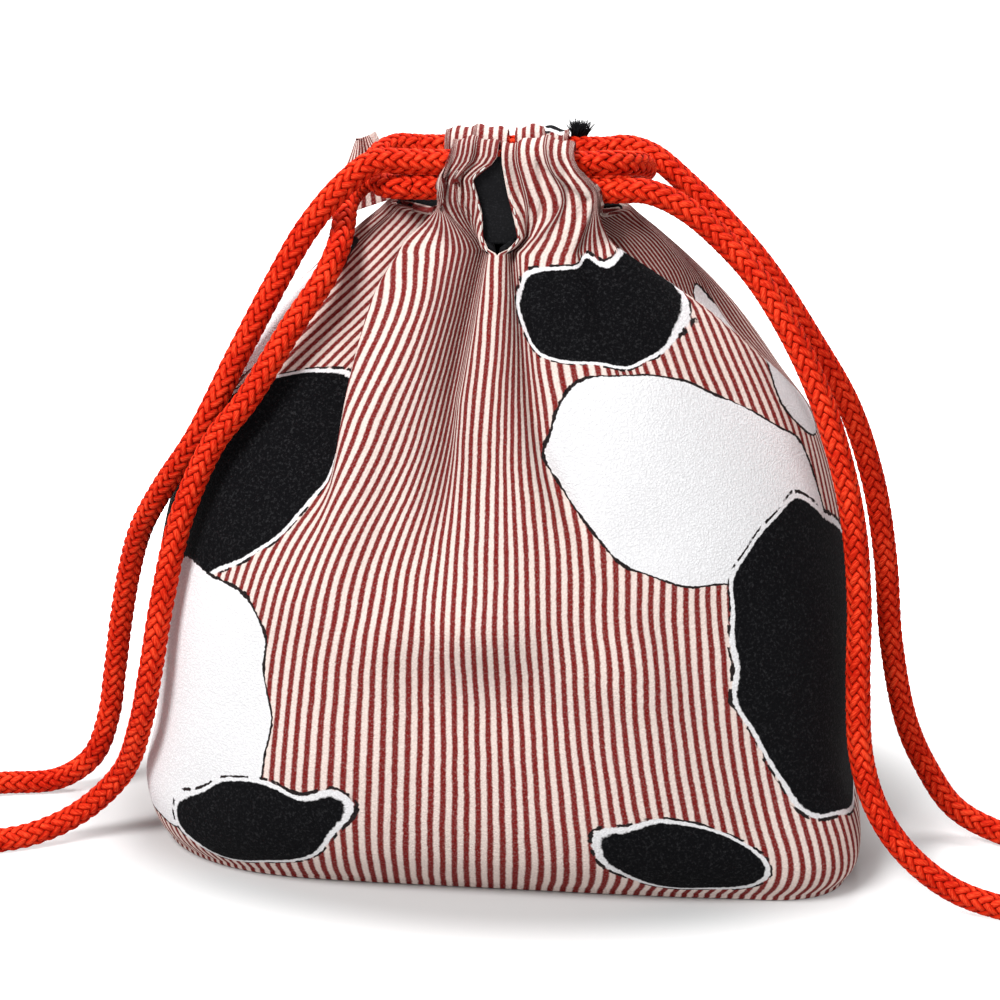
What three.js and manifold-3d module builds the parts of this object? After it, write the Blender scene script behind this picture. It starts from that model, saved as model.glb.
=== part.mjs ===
// Drawstring pouch in millimetres, +Z up, standing on the plane z = 0 with its base centred on the origin.
// The front of the pouch looks along -Y. A cloth shell in two halves stands on a stiff flat base and is
// gathered into a neck. Four casing tabs stand on the neck, two at the front and two at the back. Two cords
// run round the mouth through the tabs, one above the other, and leave on opposite sides. The base, the shell,
// each half of the mouth and each cord is a group of its own.

import * as THREE from 'three';
import Module from 'manifold-3d';

const wasm = await Module();
wasm.setup();
const { Manifold, Mesh } = wasm;

// Driving dimensions
const BELLY_WIDTH = 160;
const BELLY_DEPTH = 108;
const NECK_HEIGHT = 131;
const SIDE_RISE = 7;
const CLOTH_THICKNESS = 1.2;
const LINING_THICKNESS = 0.8;
const LAYER_GAP = 0.35;
const PART_GAP = 0.3;
const BASE_PANEL_THICKNESS = 1.2;
const BASE_BOARD_THICKNESS = 2;
const BASE_BOARD_MARGIN = 1.2;
const LINING_FLOOR_MARGIN = 0.6;
const CORD_DIAMETER = 5;
const CORD_CLEARANCE = 0.3;
const CASING_WALL = 1.2;
const CASING_CENTRE_DEPTH = 11.4;
const CASING_ROUNDING = 3.2;
const CASING_STAND_OFF = 0.5;
const SKIRT_THICKNESS = 1.5;
const GATHER_DEPTH = 0.4;
const GATHER_PITCH = 5.6;
const FRONT_TAB_REACH = 18;
const BACK_TAB_REACH = 20;
const SLIT_WIDTH = 2.4;
const PLEAT_COUNT = 14;
const PLEAT_DEPTH = 0.08;
const KNOT_LENGTH = 14;
const KNOT_RADIUS = 6.4;
const TAIL_LENGTH = 14;
const TAIL_SPREAD = 3;
const FLOOR_GAP = 0.2;
const CUT_OVERRUN = 1;

// Size of the pouch that the cord routes are drawn for
const ROUTE_BELLY_WIDTH = 160;
const ROUTE_BELLY_DEPTH = 108;
const ROUTE_NECK_HEIGHT = 131;
const ROUTE_TAB_REACH = 18;
const ROUTE_CASING_DEPTH = 11.4;
const ROUTE_LEVEL_STEP = 5.3;

// Side profile of the shell. Heights are fractions of the neck height. Widths and depths are fractions of the
// belly. The last number is the squareness of the section: 2 is an ellipse, 4 is close to a rounded box.
const PROFILE = [
  [0.0, 0.9, 0.815, 4.4],
  [0.035, 0.955, 0.9, 4.0],
  [0.08, 0.99, 0.968, 3.5],
  [0.15, 1.0, 1.0, 3.0],
  [0.27, 0.985, 0.985, 2.8],
  [0.4, 0.963, 0.94, 2.7],
  [0.5, 0.938, 0.88, 2.6],
  [0.6, 0.894, 0.81, 2.5],
  [0.7, 0.825, 0.73, 2.4],
  [0.79, 0.738, 0.645, 2.3],
  [0.87, 0.638, 0.555, 2.2],
  [0.94, 0.53, 0.453, 2.2],
  [1.0, 0.425, 0.343, 2.2],
  [1.03, 0.363, 0.306, 2.2],
  [1.06, 0.313, 0.282, 2.2],
];

// Heights of the rings of the shell, as fractions of the neck height
const RING_HEIGHTS = [0.0115, 0.035, 0.065, 0.105, 0.155, 0.225, 0.31, 0.41, 0.5, 0.59, 0.68, 0.76, 0.83, 0.89,
  0.95, 1.0];
const HALF_COLUMNS = 28;

// Heights of the parts that stack up from the floor
const shellFoot = BASE_PANEL_THICKNESS + PART_GAP;
const boardBottom = shellFoot;
const boardTop = boardBottom + BASE_BOARD_THICKNESS;
const liningFloorBottom = boardTop + PART_GAP;
const liningFloorTop = liningFloorBottom + LINING_THICKNESS;
const liningFoot = liningFloorTop + PART_GAP;

// Levels inside the casing, which holds two cords one above the other
const casingFloor = NECK_HEIGHT + SIDE_RISE + CASING_STAND_OFF;
const lowerCord = casingFloor + CORD_CLEARANCE + CORD_DIAMETER / 2;
const upperCord = lowerCord + CORD_DIAMETER + CORD_CLEARANCE;
const casingTop = upperCord + CORD_DIAMETER / 2 + CORD_CLEARANCE;
const casingHalfWidth = CORD_DIAMETER / 2 + CORD_CLEARANCE;
const strandLane = CORD_DIAMETER / 2 + CORD_CLEARANCE;
const knotHeight = KNOT_RADIUS + FLOOR_GAP;

const clamp01 = (t) => Math.min(1, Math.max(0, t));
const smooth = (t) => clamp01(t) ** 2 * (3 - 2 * clamp01(t));

// One column of the profile at a height, by a smooth curve through the listed points
function profileValue(heightFraction, column) {
  const last = PROFILE.length - 1;
  let i = 0;
  while (i < last - 1 && PROFILE[i + 1][0] < heightFraction) {
    i += 1;
  }
  const slopeAt = (k) => {
    const low = PROFILE[Math.max(0, k - 1)];
    const high = PROFILE[Math.min(last, k + 1)];
    return (high[column] - low[column]) / (high[0] - low[0]);
  };
  const span = PROFILE[i + 1][0] - PROFILE[i][0];
  const t = clamp01((heightFraction - PROFILE[i][0]) / span);
  const start = PROFILE[i][column];
  const end = PROFILE[i + 1][column];
  const startPart = (2 * t ** 3 - 3 * t ** 2 + 1) * start + (t ** 3 - 2 * t ** 2 + t) * span * slopeAt(i);
  const endPart = (3 * t ** 2 - 2 * t ** 3) * end + (t ** 3 - t ** 2) * span * slopeAt(i + 1);
  return startPart + endPart;
}

// Distance from the upright axis to the outside of the cloth at a height and an angle round the pouch
function outsideRadius(z, angle) {
  const height = z / NECK_HEIGHT;
  const halfWidth = (BELLY_WIDTH / 2) * profileValue(height, 1);
  const halfDepth = (BELLY_DEPTH / 2) * profileValue(height, 2);
  const squareness = profileValue(height, 3);
  const across = (Math.abs(Math.cos(angle)) / halfWidth) ** squareness;
  const along = (Math.abs(Math.sin(angle)) / halfDepth) ** squareness;
  const pleat = PLEAT_DEPTH * smooth((height - 0.5) / 0.5) * (0.5 - 0.5 * Math.cos(PLEAT_COUNT * angle));
  return (across + along) ** (-1 / squareness) * (1 - pleat);
}

// Radius of a surface that lies a given depth inside the outside of the cloth
function radiusAtDepth(z, angle, depth) {
  const step = 0.6;
  const low = Math.max(z - step, 0);
  const slope = (outsideRadius(z + step, angle) - outsideRadius(low, angle)) / (z + step - low);
  return outsideRadius(z, angle) - depth * Math.sqrt(1 + slope * slope);
}

// The top edge of the shell is level at the front and the back and rises at the two sides
function ringHeight(fraction, angle) {
  const sideRise = SIDE_RISE * smooth((Math.abs(Math.cos(angle)) - 0.75) / 0.25);
  return fraction * NECK_HEIGHT + sideRise * smooth((fraction - 0.7) / 0.3);
}

// A geometry from a list of corner points and a list of triangles
function geometryFrom(points, triangles) {
  const geometry = new THREE.BufferGeometry();
  geometry.setAttribute('position', new THREE.Float32BufferAttribute(points.flat(), 3));
  geometry.setIndex(triangles.flat());
  geometry.computeVertexNormals();
  return geometry;
}

// A closed bent sheet between two grids of points of equal size, the first grid on the outside
function sheetGeometry(outer, inner) {
  const rows = outer.length;
  const columns = outer[0].length;
  const points = [...outer.flat(), ...inner.flat()];
  const out = (i, j) => i * columns + j;
  const inn = (i, j) => rows * columns + i * columns + j;
  const triangles = [];
  const quad = (a, b, c, d) => triangles.push([a, b, c], [a, c, d]);
  for (let i = 0; i < rows - 1; i += 1) {
    for (let j = 0; j < columns - 1; j += 1) {
      quad(out(i, j), out(i, j + 1), out(i + 1, j + 1), out(i + 1, j));
      quad(inn(i, j), inn(i + 1, j), inn(i + 1, j + 1), inn(i, j + 1));
    }
  }
  for (let j = 0; j < columns - 1; j += 1) {
    quad(out(0, j), inn(0, j), inn(0, j + 1), out(0, j + 1));
    quad(out(rows - 1, j), out(rows - 1, j + 1), inn(rows - 1, j + 1), inn(rows - 1, j));
  }
  for (let i = 0; i < rows - 1; i += 1) {
    quad(out(i, 0), out(i + 1, 0), inn(i + 1, 0), inn(i, 0));
    quad(out(i, columns - 1), inn(i, columns - 1), inn(i + 1, columns - 1), out(i + 1, columns - 1));
  }
  return geometryFrom(points, triangles);
}

// Half of a cloth wall between two depths, on the front (-1) or the back (+1), from a foot height to the neck
function wallGeometry(side, foot, depthFrom, depthTo) {
  const fractions = RING_HEIGHTS.filter((f) => f * NECK_HEIGHT > foot + 0.5);
  const heights = [foot / NECK_HEIGHT, ...fractions];
  const gridAt = (depth) => heights.map((fraction) => {
    const row = [];
    for (let j = 0; j <= HALF_COLUMNS; j += 1) {
      const middle = side < 0 ? Math.PI * 1.5 : Math.PI * 0.5;
      const rough = middle + (j / HALF_COLUMNS - 0.5) * Math.PI;
      const seam = PART_GAP / 2 / radiusAtDepth(ringHeight(fraction, rough), rough, depthTo);
      const angle = middle + (j / HALF_COLUMNS - 0.5) * (Math.PI - 2 * seam);
      const z = ringHeight(fraction, angle);
      const radius = radiusAtDepth(z, angle, depth);
      row.push([radius * Math.cos(angle), radius * Math.sin(angle), z]);
    }
    return row;
  });
  return sheetGeometry(gridAt(depthFrom), gridAt(depthTo));
}

// A flat panel that follows the section of the shell at one height and depth, drawn in by a margin
function panelGeometry(sectionHeight, depth, margin, thickness) {
  const count = 48;
  const outline = [];
  for (let j = 0; j < count; j += 1) {
    const angle = (j / count) * 2 * Math.PI;
    const radius = radiusAtDepth(sectionHeight, angle, depth) - margin;
    outline.push(new THREE.Vector2(radius * Math.cos(angle), radius * Math.sin(angle)));
  }
  return new THREE.ExtrudeGeometry(new THREE.Shape(outline), {
    depth: thickness,
    bevelEnabled: false,
    steps: 1,
  });
}

// A solid lofted along X through outlines of equal point count. Each outline is a list of [y, z] points.
function loftAlongX(stations) {
  const count = stations[0].outline.length;
  const area = stations[0].outline.reduce((sum, [y, z], j) => {
    const [nextY, nextZ] = stations[0].outline[(j + 1) % count];
    return sum + (y * nextZ - nextY * z) / 2;
  }, 0);
  const rings = stations.map(({ x, outline }) => {
    const ordered = area > 0 ? outline : [...outline].reverse();
    return ordered.map(([y, z]) => [x, y, z]);
  });
  const triangles = [];
  for (let i = 0; i < rings.length - 1; i += 1) {
    for (let j = 0; j < count; j += 1) {
      const next = (j + 1) % count;
      const a = i * count + j;
      const b = i * count + next;
      const c = (i + 1) * count + next;
      const d = (i + 1) * count + j;
      triangles.push([a, b, c], [a, c, d]);
    }
  }
  const flat = rings[0].map(([, y, z]) => new THREE.Vector2(y, z));
  const capOffset = (rings.length - 1) * count;
  for (const [a, b, c] of THREE.ShapeUtils.triangulateShape(flat, [])) {
    triangles.push([a, c, b], [capOffset + a, capOffset + b, capOffset + c]);
  }
  return geometryFrom(rings.flat(), triangles);
}

// Manifold solid from a geometry, its corners merged where they coincide
function solidFrom(geometry) {
  const position = geometry.getAttribute('position');
  const index = geometry.getIndex();
  const corners = index ? index.count : position.count;
  const seen = new Map();
  const vertices = [];
  const triangles = [];
  for (let i = 0; i < corners; i += 1) {
    const k = index ? index.getX(i) : i;
    const point = [position.getX(k), position.getY(k), position.getZ(k)];
    const key = point.map((value) => Math.round(value * 1e4)).join(',');
    if (!seen.has(key)) {
      seen.set(key, vertices.length / 3);
      vertices.push(...point);
    }
    triangles.push(seen.get(key));
  }
  return new Manifold(new Mesh({
    numProp: 3,
    vertProperties: new Float32Array(vertices),
    triVerts: new Uint32Array(triangles),
  }));
}

// Geometry from a manifold solid
function geometryOfSolid(solid) {
  const mesh = solid.getMesh();
  const geometry = new THREE.BufferGeometry();
  const points = [];
  for (let i = 0; i < mesh.numVert; i += 1) {
    points.push(...mesh.vertProperties.slice(i * mesh.numProp, i * mesh.numProp + 3));
  }
  geometry.setAttribute('position', new THREE.Float32BufferAttribute(points, 3));
  geometry.setIndex([...mesh.triVerts]);
  geometry.computeVertexNormals();
  return geometry;
}

// Corner points of a quarter circle in the plane of [y, z]
function quarterArc(centreY, centreZ, radius, startTurn) {
  const points = [];
  for (let k = 0; k <= 3; k += 1) {
    const angle = (startTurn + k / 3) * (Math.PI / 2);
    points.push([centreY + radius * Math.cos(angle), centreZ + radius * Math.sin(angle)]);
  }
  return points;
}

// Section of a casing tab as [y, z] from the middle of the casing and the top of the neck: a leaning skirt
// with the folded casing on top. The gathers move its outer points in and out along the tab.
function tabOutline(gather) {
  const outerFace = casingHalfWidth + CASING_WALL;
  const innerFace = -outerFace;
  const top = casingTop + CASING_WALL - NECK_HEIGHT;
  const bottom = casingFloor - CASING_WALL - NECK_HEIGHT;
  const skirtOuter = (BELLY_DEPTH / 2) * profileValue(1, 2) - CASING_CENTRE_DEPTH;
  return [
    [skirtOuter - SKIRT_THICKNESS, PART_GAP],
    [skirtOuter, PART_GAP],
    [outerFace + gather, bottom + 2 * CASING_WALL],
    [outerFace + gather * 0.6, (bottom + top) / 2],
    ...quarterArc(outerFace - CASING_ROUNDING + gather * 0.6, top - CASING_ROUNDING - gather * 0.4,
      CASING_ROUNDING, 0),
    ...quarterArc(innerFace + CASING_ROUNDING, top - CASING_ROUNDING - gather * 0.4, CASING_ROUNDING, 1),
    [innerFace, bottom + CASING_WALL],
    [innerFace + CASING_WALL, bottom],
    [outerFace - 2 * CASING_WALL, bottom],
  ];
}

// One casing tab between two distances along X, with the slot for the two cords
function tabGeometry(from, to) {
  const stations = [];
  const steps = Math.max(4, Math.round((3 * (to - from)) / GATHER_PITCH));
  for (let k = 0; k <= steps; k += 1) {
    const x = from + ((to - from) * k) / steps;
    const gather = GATHER_DEPTH * Math.sin((2 * Math.PI * x) / GATHER_PITCH);
    stations.push({ x, outline: tabOutline(gather) });
  }
  const slotArc = (centreZ, turn) => [
    ...quarterArc(0, centreZ - NECK_HEIGHT, casingHalfWidth, turn),
    ...quarterArc(0, centreZ - NECK_HEIGHT, casingHalfWidth, turn + 1).slice(1),
  ];
  const slot = [
    ...slotArc(casingTop - casingHalfWidth, 0),
    ...slotArc(casingFloor + casingHalfWidth, 2),
  ];
  const tunnel = loftAlongX([
    { x: from - CUT_OVERRUN, outline: slot },
    { x: to + CUT_OVERRUN, outline: slot },
  ]);
  return geometryOfSolid(solidFrom(loftAlongX(stations)).subtract(solidFrom(tunnel)));
}

// The run of a cord through hand-chosen points. A length of tube ends at each point, and where the cord
// meets a casing or a knot its end face is square to X.
class CordRoute extends THREE.Curve {
  constructor(points) {
    super();
    this.points = points.map((p) => new THREE.Vector3(...p));
  }

  getPointAt(u, target = new THREE.Vector3()) {
    const last = this.points.length - 1;
    const i = Math.min(last - 1, Math.floor(u * last + 1e-6));
    return target.lerpVectors(this.points[i], this.points[i + 1], u * last - i);
  }

  getTangentAt(u, target = new THREE.Vector3()) {
    const last = this.points.length - 1;
    const i = Math.round(u * last);
    const before = this.points[Math.max(0, i - 1)];
    const after = this.points[Math.min(last, i + 1)];
    target.subVectors(after, before).normalize();
    const endsAlongX = (i === 0 || i === last) && Math.abs(target.x) > 0.7;
    return endsAlongX ? target.set(Math.sign(target.x), 0, 0) : target;
  }
}

// A round cord along a route
function cordGeometry(route) {
  const sides = 10;
  const section = [];
  for (let k = 0; k < sides; k += 1) {
    const angle = (k / sides) * 2 * Math.PI;
    const radius = CORD_DIAMETER / 2;
    section.push(new THREE.Vector2(radius * Math.cos(angle), radius * Math.sin(angle)));
  }
  return new THREE.ExtrudeGeometry(new THREE.Shape(section), {
    steps: route.length - 1,
    bevelEnabled: false,
    extrudePath: new CordRoute(route),
  });
}

// Route points follow the size of the pouch and never sink below the floor
function placeRoute(points) {
  const alongX = BELLY_WIDTH / ROUTE_BELLY_WIDTH;
  const alongY = BELLY_DEPTH / ROUTE_BELLY_DEPTH;
  const up = NECK_HEIGHT / ROUTE_NECK_HEIGHT;
  const lowest = CORD_DIAMETER / 2 + FLOOR_GAP;
  return points.map(([x, y, z]) => [x * alongX, y * alongY, Math.max(z * up, lowest)]);
}

// Free strands of the cord that leaves on the left
const LEFT_FRONT_ROUTE = [
  [-26, -12.6, 146.4],
  [-32.5, -13.8, 141.6],
  [-40, -15.2, 132.6],
  [-46.2, -16, 122.2],
  [-54.6, -19, 106.5],
  [-63, -22.5, 90],
  [-71.5, -19, 78],
  [-79, -13, 66],
  [-83.5, -9, 54],
  [-86.5, -7, 42],
  [-89, -6, 29],
  [-91, -6.5, 18],
  [-95, -7.5, 8.5],
  [-103, -9, 3.2],
  [-116, -12, 2.8],
  [-130, -17.5, 2.8],
  [-144, -24, 3],
];
const LEFT_BACK_ROUTE = [
  [-25, 10.6, 141.4],
  [-29.8, 7.5, 140.4],
  [-32.8, 2.5, 138.4],
  [-33.6, -3.5, 136.2],
  [-33.2, -9.5, 132.8],
  [-33.6, -14.6, 128.8],
  [-36, -19, 123],
  [-41.5, -23, 114.8],
  [-50.5, -28.5, 100],
  [-57.5, -30.5, 91],
  [-64.5, -33, 75],
  [-68.5, -36, 58],
  [-71.5, -37.5, 42],
  [-74.6, -36, 30],
  [-80.5, -32, 16.5],
  [-90.8, -32.5, 6.5],
  [-101, -37, 2.9],
  [-115, -42.5, 2.8],
  [-130, -44.5, 2.8],
  [-145, -41.5, 3],
];
const LEFT_KNOT = [-158, -32.5];

// Free strands of the cord that leaves on the right
const RIGHT_FRONT_ROUTE = [
  [23.5, -12.1, 141.3],
  [30, -12.8, 141.3],
  [37.6, -13, 138],
  [46.3, -14, 131],
  [53.4, -17, 123.5],
  [62.5, -21, 109],
  [69, -24, 93.5],
  [73.4, -26, 77],
  [75.4, -28, 60],
  [75.8, -31, 44],
  [77, -34.5, 29],
  [80.4, -37.5, 19],
  [86, -41, 11.5],
  [95.3, -44.5, 5.2],
  [106, -47.5, 2.8],
  [121, -50, 2.8],
  [138, -49, 2.8],
  [150, -45, 3],
];
const RIGHT_BACK_ROUTE = [
  [24.5, 11.7, 147],
  [30, 11, 145.4],
  [37.2, 9, 140],
  [46.3, 6, 131.8],
  [54.8, 3.5, 122.5],
  [65, 0, 108],
  [73, -2, 95],
  [79, -2.5, 78.5],
  [82.5, -2.5, 61],
  [84.8, -2.8, 42],
  [89, -4, 24],
  [93.6, -6, 14.5],
  [100, -9.5, 6.5],
  [109.5, -13.5, 2.9],
  [123, -20, 2.8],
  [138, -27.5, 2.8],
  [150, -33, 3],
];
const RIGHT_KNOT = [164, -39];

// Turns of the two cords where they double back beside the mouth, at heights above the lower cord
const LEFT_TURN_ROUTE = [
  [-21.5, -10.9, -0.1],
  [-24.9, -7.9, -0.2],
  [-27.4, -3.4, 1],
  [-28.3, 1.5, 2.9],
  [-27.4, 6.4, 4.6],
  [-24.6, 10, 5.6],
];
const RIGHT_TURN_ROUTE = [
  [21.5, -11.1, 5.5],
  [25, -8.6, 5.1],
  [27.6, -3.8, 4.3],
  [28.6, 1.6, 2.8],
  [27.6, 6.8, 0.9],
  [24.6, 10.3, 0],
];

// A turn joins the front casing at one level to the back casing at the other
function turnPoints(side, route, frontLevel, backLevel) {
  const front = [side * (FRONT_TAB_REACH + PART_GAP), -CASING_CENTRE_DEPTH, frontLevel];
  const back = [side * (BACK_TAB_REACH + PART_GAP), CASING_CENTRE_DEPTH, backLevel];
  const middle = route.map(([x, y, rise]) => {
    const shifted = x + side * (FRONT_TAB_REACH - ROUTE_TAB_REACH);
    const depth = y * (CASING_CENTRE_DEPTH / ROUTE_CASING_DEPTH);
    return [shifted, depth, lowerCord + rise * ((upperCord - lowerCord) / ROUTE_LEVEL_STEP)];
  });
  return [front, ...middle, back];
}

// Middle of the face of a knot that the strands meet
function knotPlace(knot) {
  const [x, y] = placeRoute([[...knot, 0]])[0];
  return [x, y, knotHeight];
}

// A free strand leaves its tab square to the tab's end and stops at the face of the knot. On the left the
// strand from the back casing lies in front on the floor, and on the right the strand from the front casing.
function strandPoints(side, casing, level, route, knot) {
  const reach = casing < 0 ? FRONT_TAB_REACH : BACK_TAB_REACH;
  const start = [side * (reach + PART_GAP), casing * CASING_CENTRE_DEPTH, level];
  const [knotX, knotY, knotZ] = knotPlace(knot);
  const end = [knotX - side * PART_GAP, knotY + side * casing * strandLane, knotZ];
  return [start, ...placeRoute(route), end];
}

// Section of the knot at a share of its length, with the hollow between its wraps turning round it
function knotOutline(along) {
  const count = 18;
  const swell = 0.72 + 0.28 * Math.sin(Math.PI * along);
  const outline = [];
  for (let k = 0; k < count; k += 1) {
    const angle = (k / count) * 2 * Math.PI;
    const hollow = 0.07 * (1 - Math.cos(2 * angle + 2.6 * Math.PI * along)) * Math.sin(Math.PI * along);
    const radius = KNOT_RADIUS * swell * (1 - hollow);
    outline.push([radius * Math.cos(angle), radius * Math.sin(angle)]);
  }
  return outline;
}

// A pulled-tight overhand knot of both strands with two short tails, along X from the face at the origin
function knotGeometry() {
  const steps = 8;
  const stations = [];
  for (let i = 0; i <= steps; i += 1) {
    stations.push({ x: (i / steps) * KNOT_LENGTH, outline: knotOutline(i / steps) });
  }
  let solid = solidFrom(loftAlongX(stations));
  const inside = KNOT_LENGTH * 0.7;
  const outside = KNOT_LENGTH + TAIL_LENGTH;
  const lowered = CORD_DIAMETER / 2 + FLOOR_GAP * 2 - knotHeight;
  for (const lane of [-1, 1]) {
    const tail = cordGeometry([
      [inside, lane * strandLane, 0],
      [inside + CORD_DIAMETER, lane * strandLane, 0.15 * lowered],
      [inside * 0.4 + outside * 0.6, lane * (strandLane + TAIL_SPREAD * 0.4), 0.5 * lowered],
      [outside, lane * (strandLane + TAIL_SPREAD), lowered],
    ]);
    solid = solid.add(solidFrom(tail));
  }
  return geometryOfSolid(solid);
}

// A straight length of cord through both tabs of one casing
function casingRun(reach) {
  return cordGeometry([[-reach, 0, 0], [0, 0, 0], [reach, 0, 0]]);
}

const cloth = () => new THREE.MeshStandardMaterial({ color: 0xc98a86, roughness: 0.9, metalness: 0 });
const lining = () => new THREE.MeshStandardMaterial({ color: 0x17171a, roughness: 0.9, metalness: 0 });
const board = () => new THREE.MeshStandardMaterial({ color: 0xd9d4c8, roughness: 0.7, metalness: 0 });
const cord = () => new THREE.MeshStandardMaterial({ color: 0xe23a1a, roughness: 0.85, metalness: 0 });

// A named piece in a group, placed by its position
function addPiece(group, name, geometry, material, position = [0, 0, 0]) {
  const mesh = new THREE.Mesh(geometry, material);
  mesh.name = name;
  mesh.position.set(...position);
  group.add(mesh);
  return mesh;
}

// Outer and lining cloth, each in a front and a back half
function shellGroup() {
  const group = new THREE.Group();
  const liningFrom = CLOTH_THICKNESS + LAYER_GAP;
  const liningTo = liningFrom + LINING_THICKNESS;
  addPiece(group, 'outer_front', wallGeometry(-1, shellFoot, 0, CLOTH_THICKNESS), cloth());
  addPiece(group, 'outer_back', wallGeometry(1, shellFoot, 0, CLOTH_THICKNESS), cloth());
  addPiece(group, 'lining_front', wallGeometry(-1, liningFoot, liningFrom, liningTo), lining());
  addPiece(group, 'lining_back', wallGeometry(1, liningFoot, liningFrom, liningTo), lining());
  return group;
}

// The bottom panel, the stiff board on it and the floor of the lining
function baseGroup() {
  const group = new THREE.Group();
  const panel = panelGeometry(shellFoot, 0, 0, BASE_PANEL_THICKNESS);
  const stiffener = panelGeometry(boardBottom, CLOTH_THICKNESS, BASE_BOARD_MARGIN, BASE_BOARD_THICKNESS);
  const floor = panelGeometry(liningFloorBottom, CLOTH_THICKNESS, LINING_FLOOR_MARGIN, LINING_THICKNESS);
  addPiece(group, 'outer_base', panel, cloth());
  addPiece(group, 'base_board', stiffener, board(), [0, 0, boardBottom]);
  addPiece(group, 'lining_base', floor, lining(), [0, 0, liningFloorBottom]);
  return group;
}

// Both tabs of one half of the mouth with the cords inside them, drawn for the back. The front half is the
// same turned half way round. The high and the low cord come in this order.
function mouthGroup(reach, tabNames, runNames) {
  const group = new THREE.Group();
  const slit = SLIT_WIDTH / 2;
  addPiece(group, tabNames[0], tabGeometry(slit, reach), cloth());
  addPiece(group, tabNames[1], tabGeometry(-reach, -slit), cloth());
  addPiece(group, runNames[0], casingRun(reach), cord(), [0, 0, upperCord - NECK_HEIGHT]);
  addPiece(group, runNames[1], casingRun(reach), cord(), [0, 0, lowerCord - NECK_HEIGHT]);
  return group;
}

function frontMouth() {
  const tabs = ['front_left_tab', 'front_right_tab'];
  const group = mouthGroup(FRONT_TAB_REACH, tabs, ['left_cord_front_run', 'right_cord_front_run']);
  group.position.set(0, -CASING_CENTRE_DEPTH, NECK_HEIGHT);
  group.rotation.z = Math.PI;
  return group;
}

function backMouth() {
  const tabs = ['back_right_tab', 'back_left_tab'];
  const group = mouthGroup(BACK_TAB_REACH, tabs, ['right_cord_back_run', 'left_cord_back_run']);
  group.position.set(0, CASING_CENTRE_DEPTH, NECK_HEIGHT);
  return group;
}

// The cord that leaves on the left lies high in the front casing and low in the back one
function leftCord() {
  const group = new THREE.Group();
  const turn = turnPoints(1, RIGHT_TURN_ROUTE, upperCord, lowerCord);
  const front = strandPoints(-1, -1, upperCord, LEFT_FRONT_ROUTE, LEFT_KNOT);
  const back = strandPoints(-1, 1, lowerCord, LEFT_BACK_ROUTE, LEFT_KNOT);
  addPiece(group, 'left_cord_turn', cordGeometry(turn), cord());
  addPiece(group, 'left_front_strand', cordGeometry(front), cord());
  addPiece(group, 'left_back_strand', cordGeometry(back), cord());
  const knot = addPiece(group, 'left_knot', knotGeometry(), cord(), knotPlace(LEFT_KNOT));
  knot.rotation.z = Math.PI;
  return group;
}

// The cord that leaves on the right lies low in the front casing and high in the back one
function rightCord() {
  const group = new THREE.Group();
  const turn = turnPoints(-1, LEFT_TURN_ROUTE, lowerCord, upperCord);
  const front = strandPoints(1, -1, lowerCord, RIGHT_FRONT_ROUTE, RIGHT_KNOT);
  const back = strandPoints(1, 1, upperCord, RIGHT_BACK_ROUTE, RIGHT_KNOT);
  addPiece(group, 'right_cord_turn', cordGeometry(turn), cord());
  addPiece(group, 'right_front_strand', cordGeometry(front), cord());
  addPiece(group, 'right_back_strand', cordGeometry(back), cord());
  addPiece(group, 'right_knot', knotGeometry(), cord(), knotPlace(RIGHT_KNOT));
  return group;
}

const pouch = new THREE.Group();
pouch.name = 'drawstring_pouch';
pouch.add(baseGroup(), shellGroup(), frontMouth(), backMouth(), leftCord(), rightCord());

export default pouch;
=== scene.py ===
"""Drawstring pouch, dressed for the camera.

Sizes in this file are in millimetres, in the frame of the solid model: +Z up, the front of the pouch toward
-Y, the base on z = 0. Meshes are written in metres.
"""

from __future__ import annotations

import logging
import math
from dataclasses import dataclass, field
from enum import Enum
from typing import Sequence

import bmesh
import bpy
import numpy as np
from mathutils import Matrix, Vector


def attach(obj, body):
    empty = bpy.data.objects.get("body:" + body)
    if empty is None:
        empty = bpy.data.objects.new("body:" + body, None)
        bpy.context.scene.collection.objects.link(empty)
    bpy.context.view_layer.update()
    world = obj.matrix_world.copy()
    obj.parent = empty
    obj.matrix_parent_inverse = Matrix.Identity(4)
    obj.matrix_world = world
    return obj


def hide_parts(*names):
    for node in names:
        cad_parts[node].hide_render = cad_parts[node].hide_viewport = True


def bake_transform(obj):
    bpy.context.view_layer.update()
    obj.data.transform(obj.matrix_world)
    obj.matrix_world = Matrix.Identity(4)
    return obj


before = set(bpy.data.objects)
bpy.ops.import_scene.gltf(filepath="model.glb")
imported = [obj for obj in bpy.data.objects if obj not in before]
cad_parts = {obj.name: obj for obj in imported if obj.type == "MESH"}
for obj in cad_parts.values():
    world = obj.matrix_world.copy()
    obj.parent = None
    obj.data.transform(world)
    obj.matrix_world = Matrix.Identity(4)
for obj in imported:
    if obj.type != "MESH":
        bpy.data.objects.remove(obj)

LOG = logging.getLogger("pouch")
MM = 0.001

Array = np.ndarray
Socket = bpy.types.NodeSocket
Point = tuple[float, float, float]
Colour = tuple[float, float, float, float]
Tube = tuple[Array, list[list[int]], Array]


# Small helpers


def smooth(t: Array | float) -> Array:
    """Return the smooth step of t, which is clamped to 0..1 first."""
    t = np.clip(t, 0.0, 1.0)
    return t * t * (3.0 - 2.0 * t)


def bump(t: Array | float) -> Array:
    """Return a round bump that is 1 at t = 0 and fades to 0 at t = -1 and t = 1."""
    t = np.clip(np.abs(t), 0.0, 1.0)
    return 0.5 + 0.5 * np.cos(math.pi * t)


def metres(values: Sequence[float]) -> tuple[float, ...]:
    """Return a row of millimetres in metres."""
    return tuple(v * MM for v in values)


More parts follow.
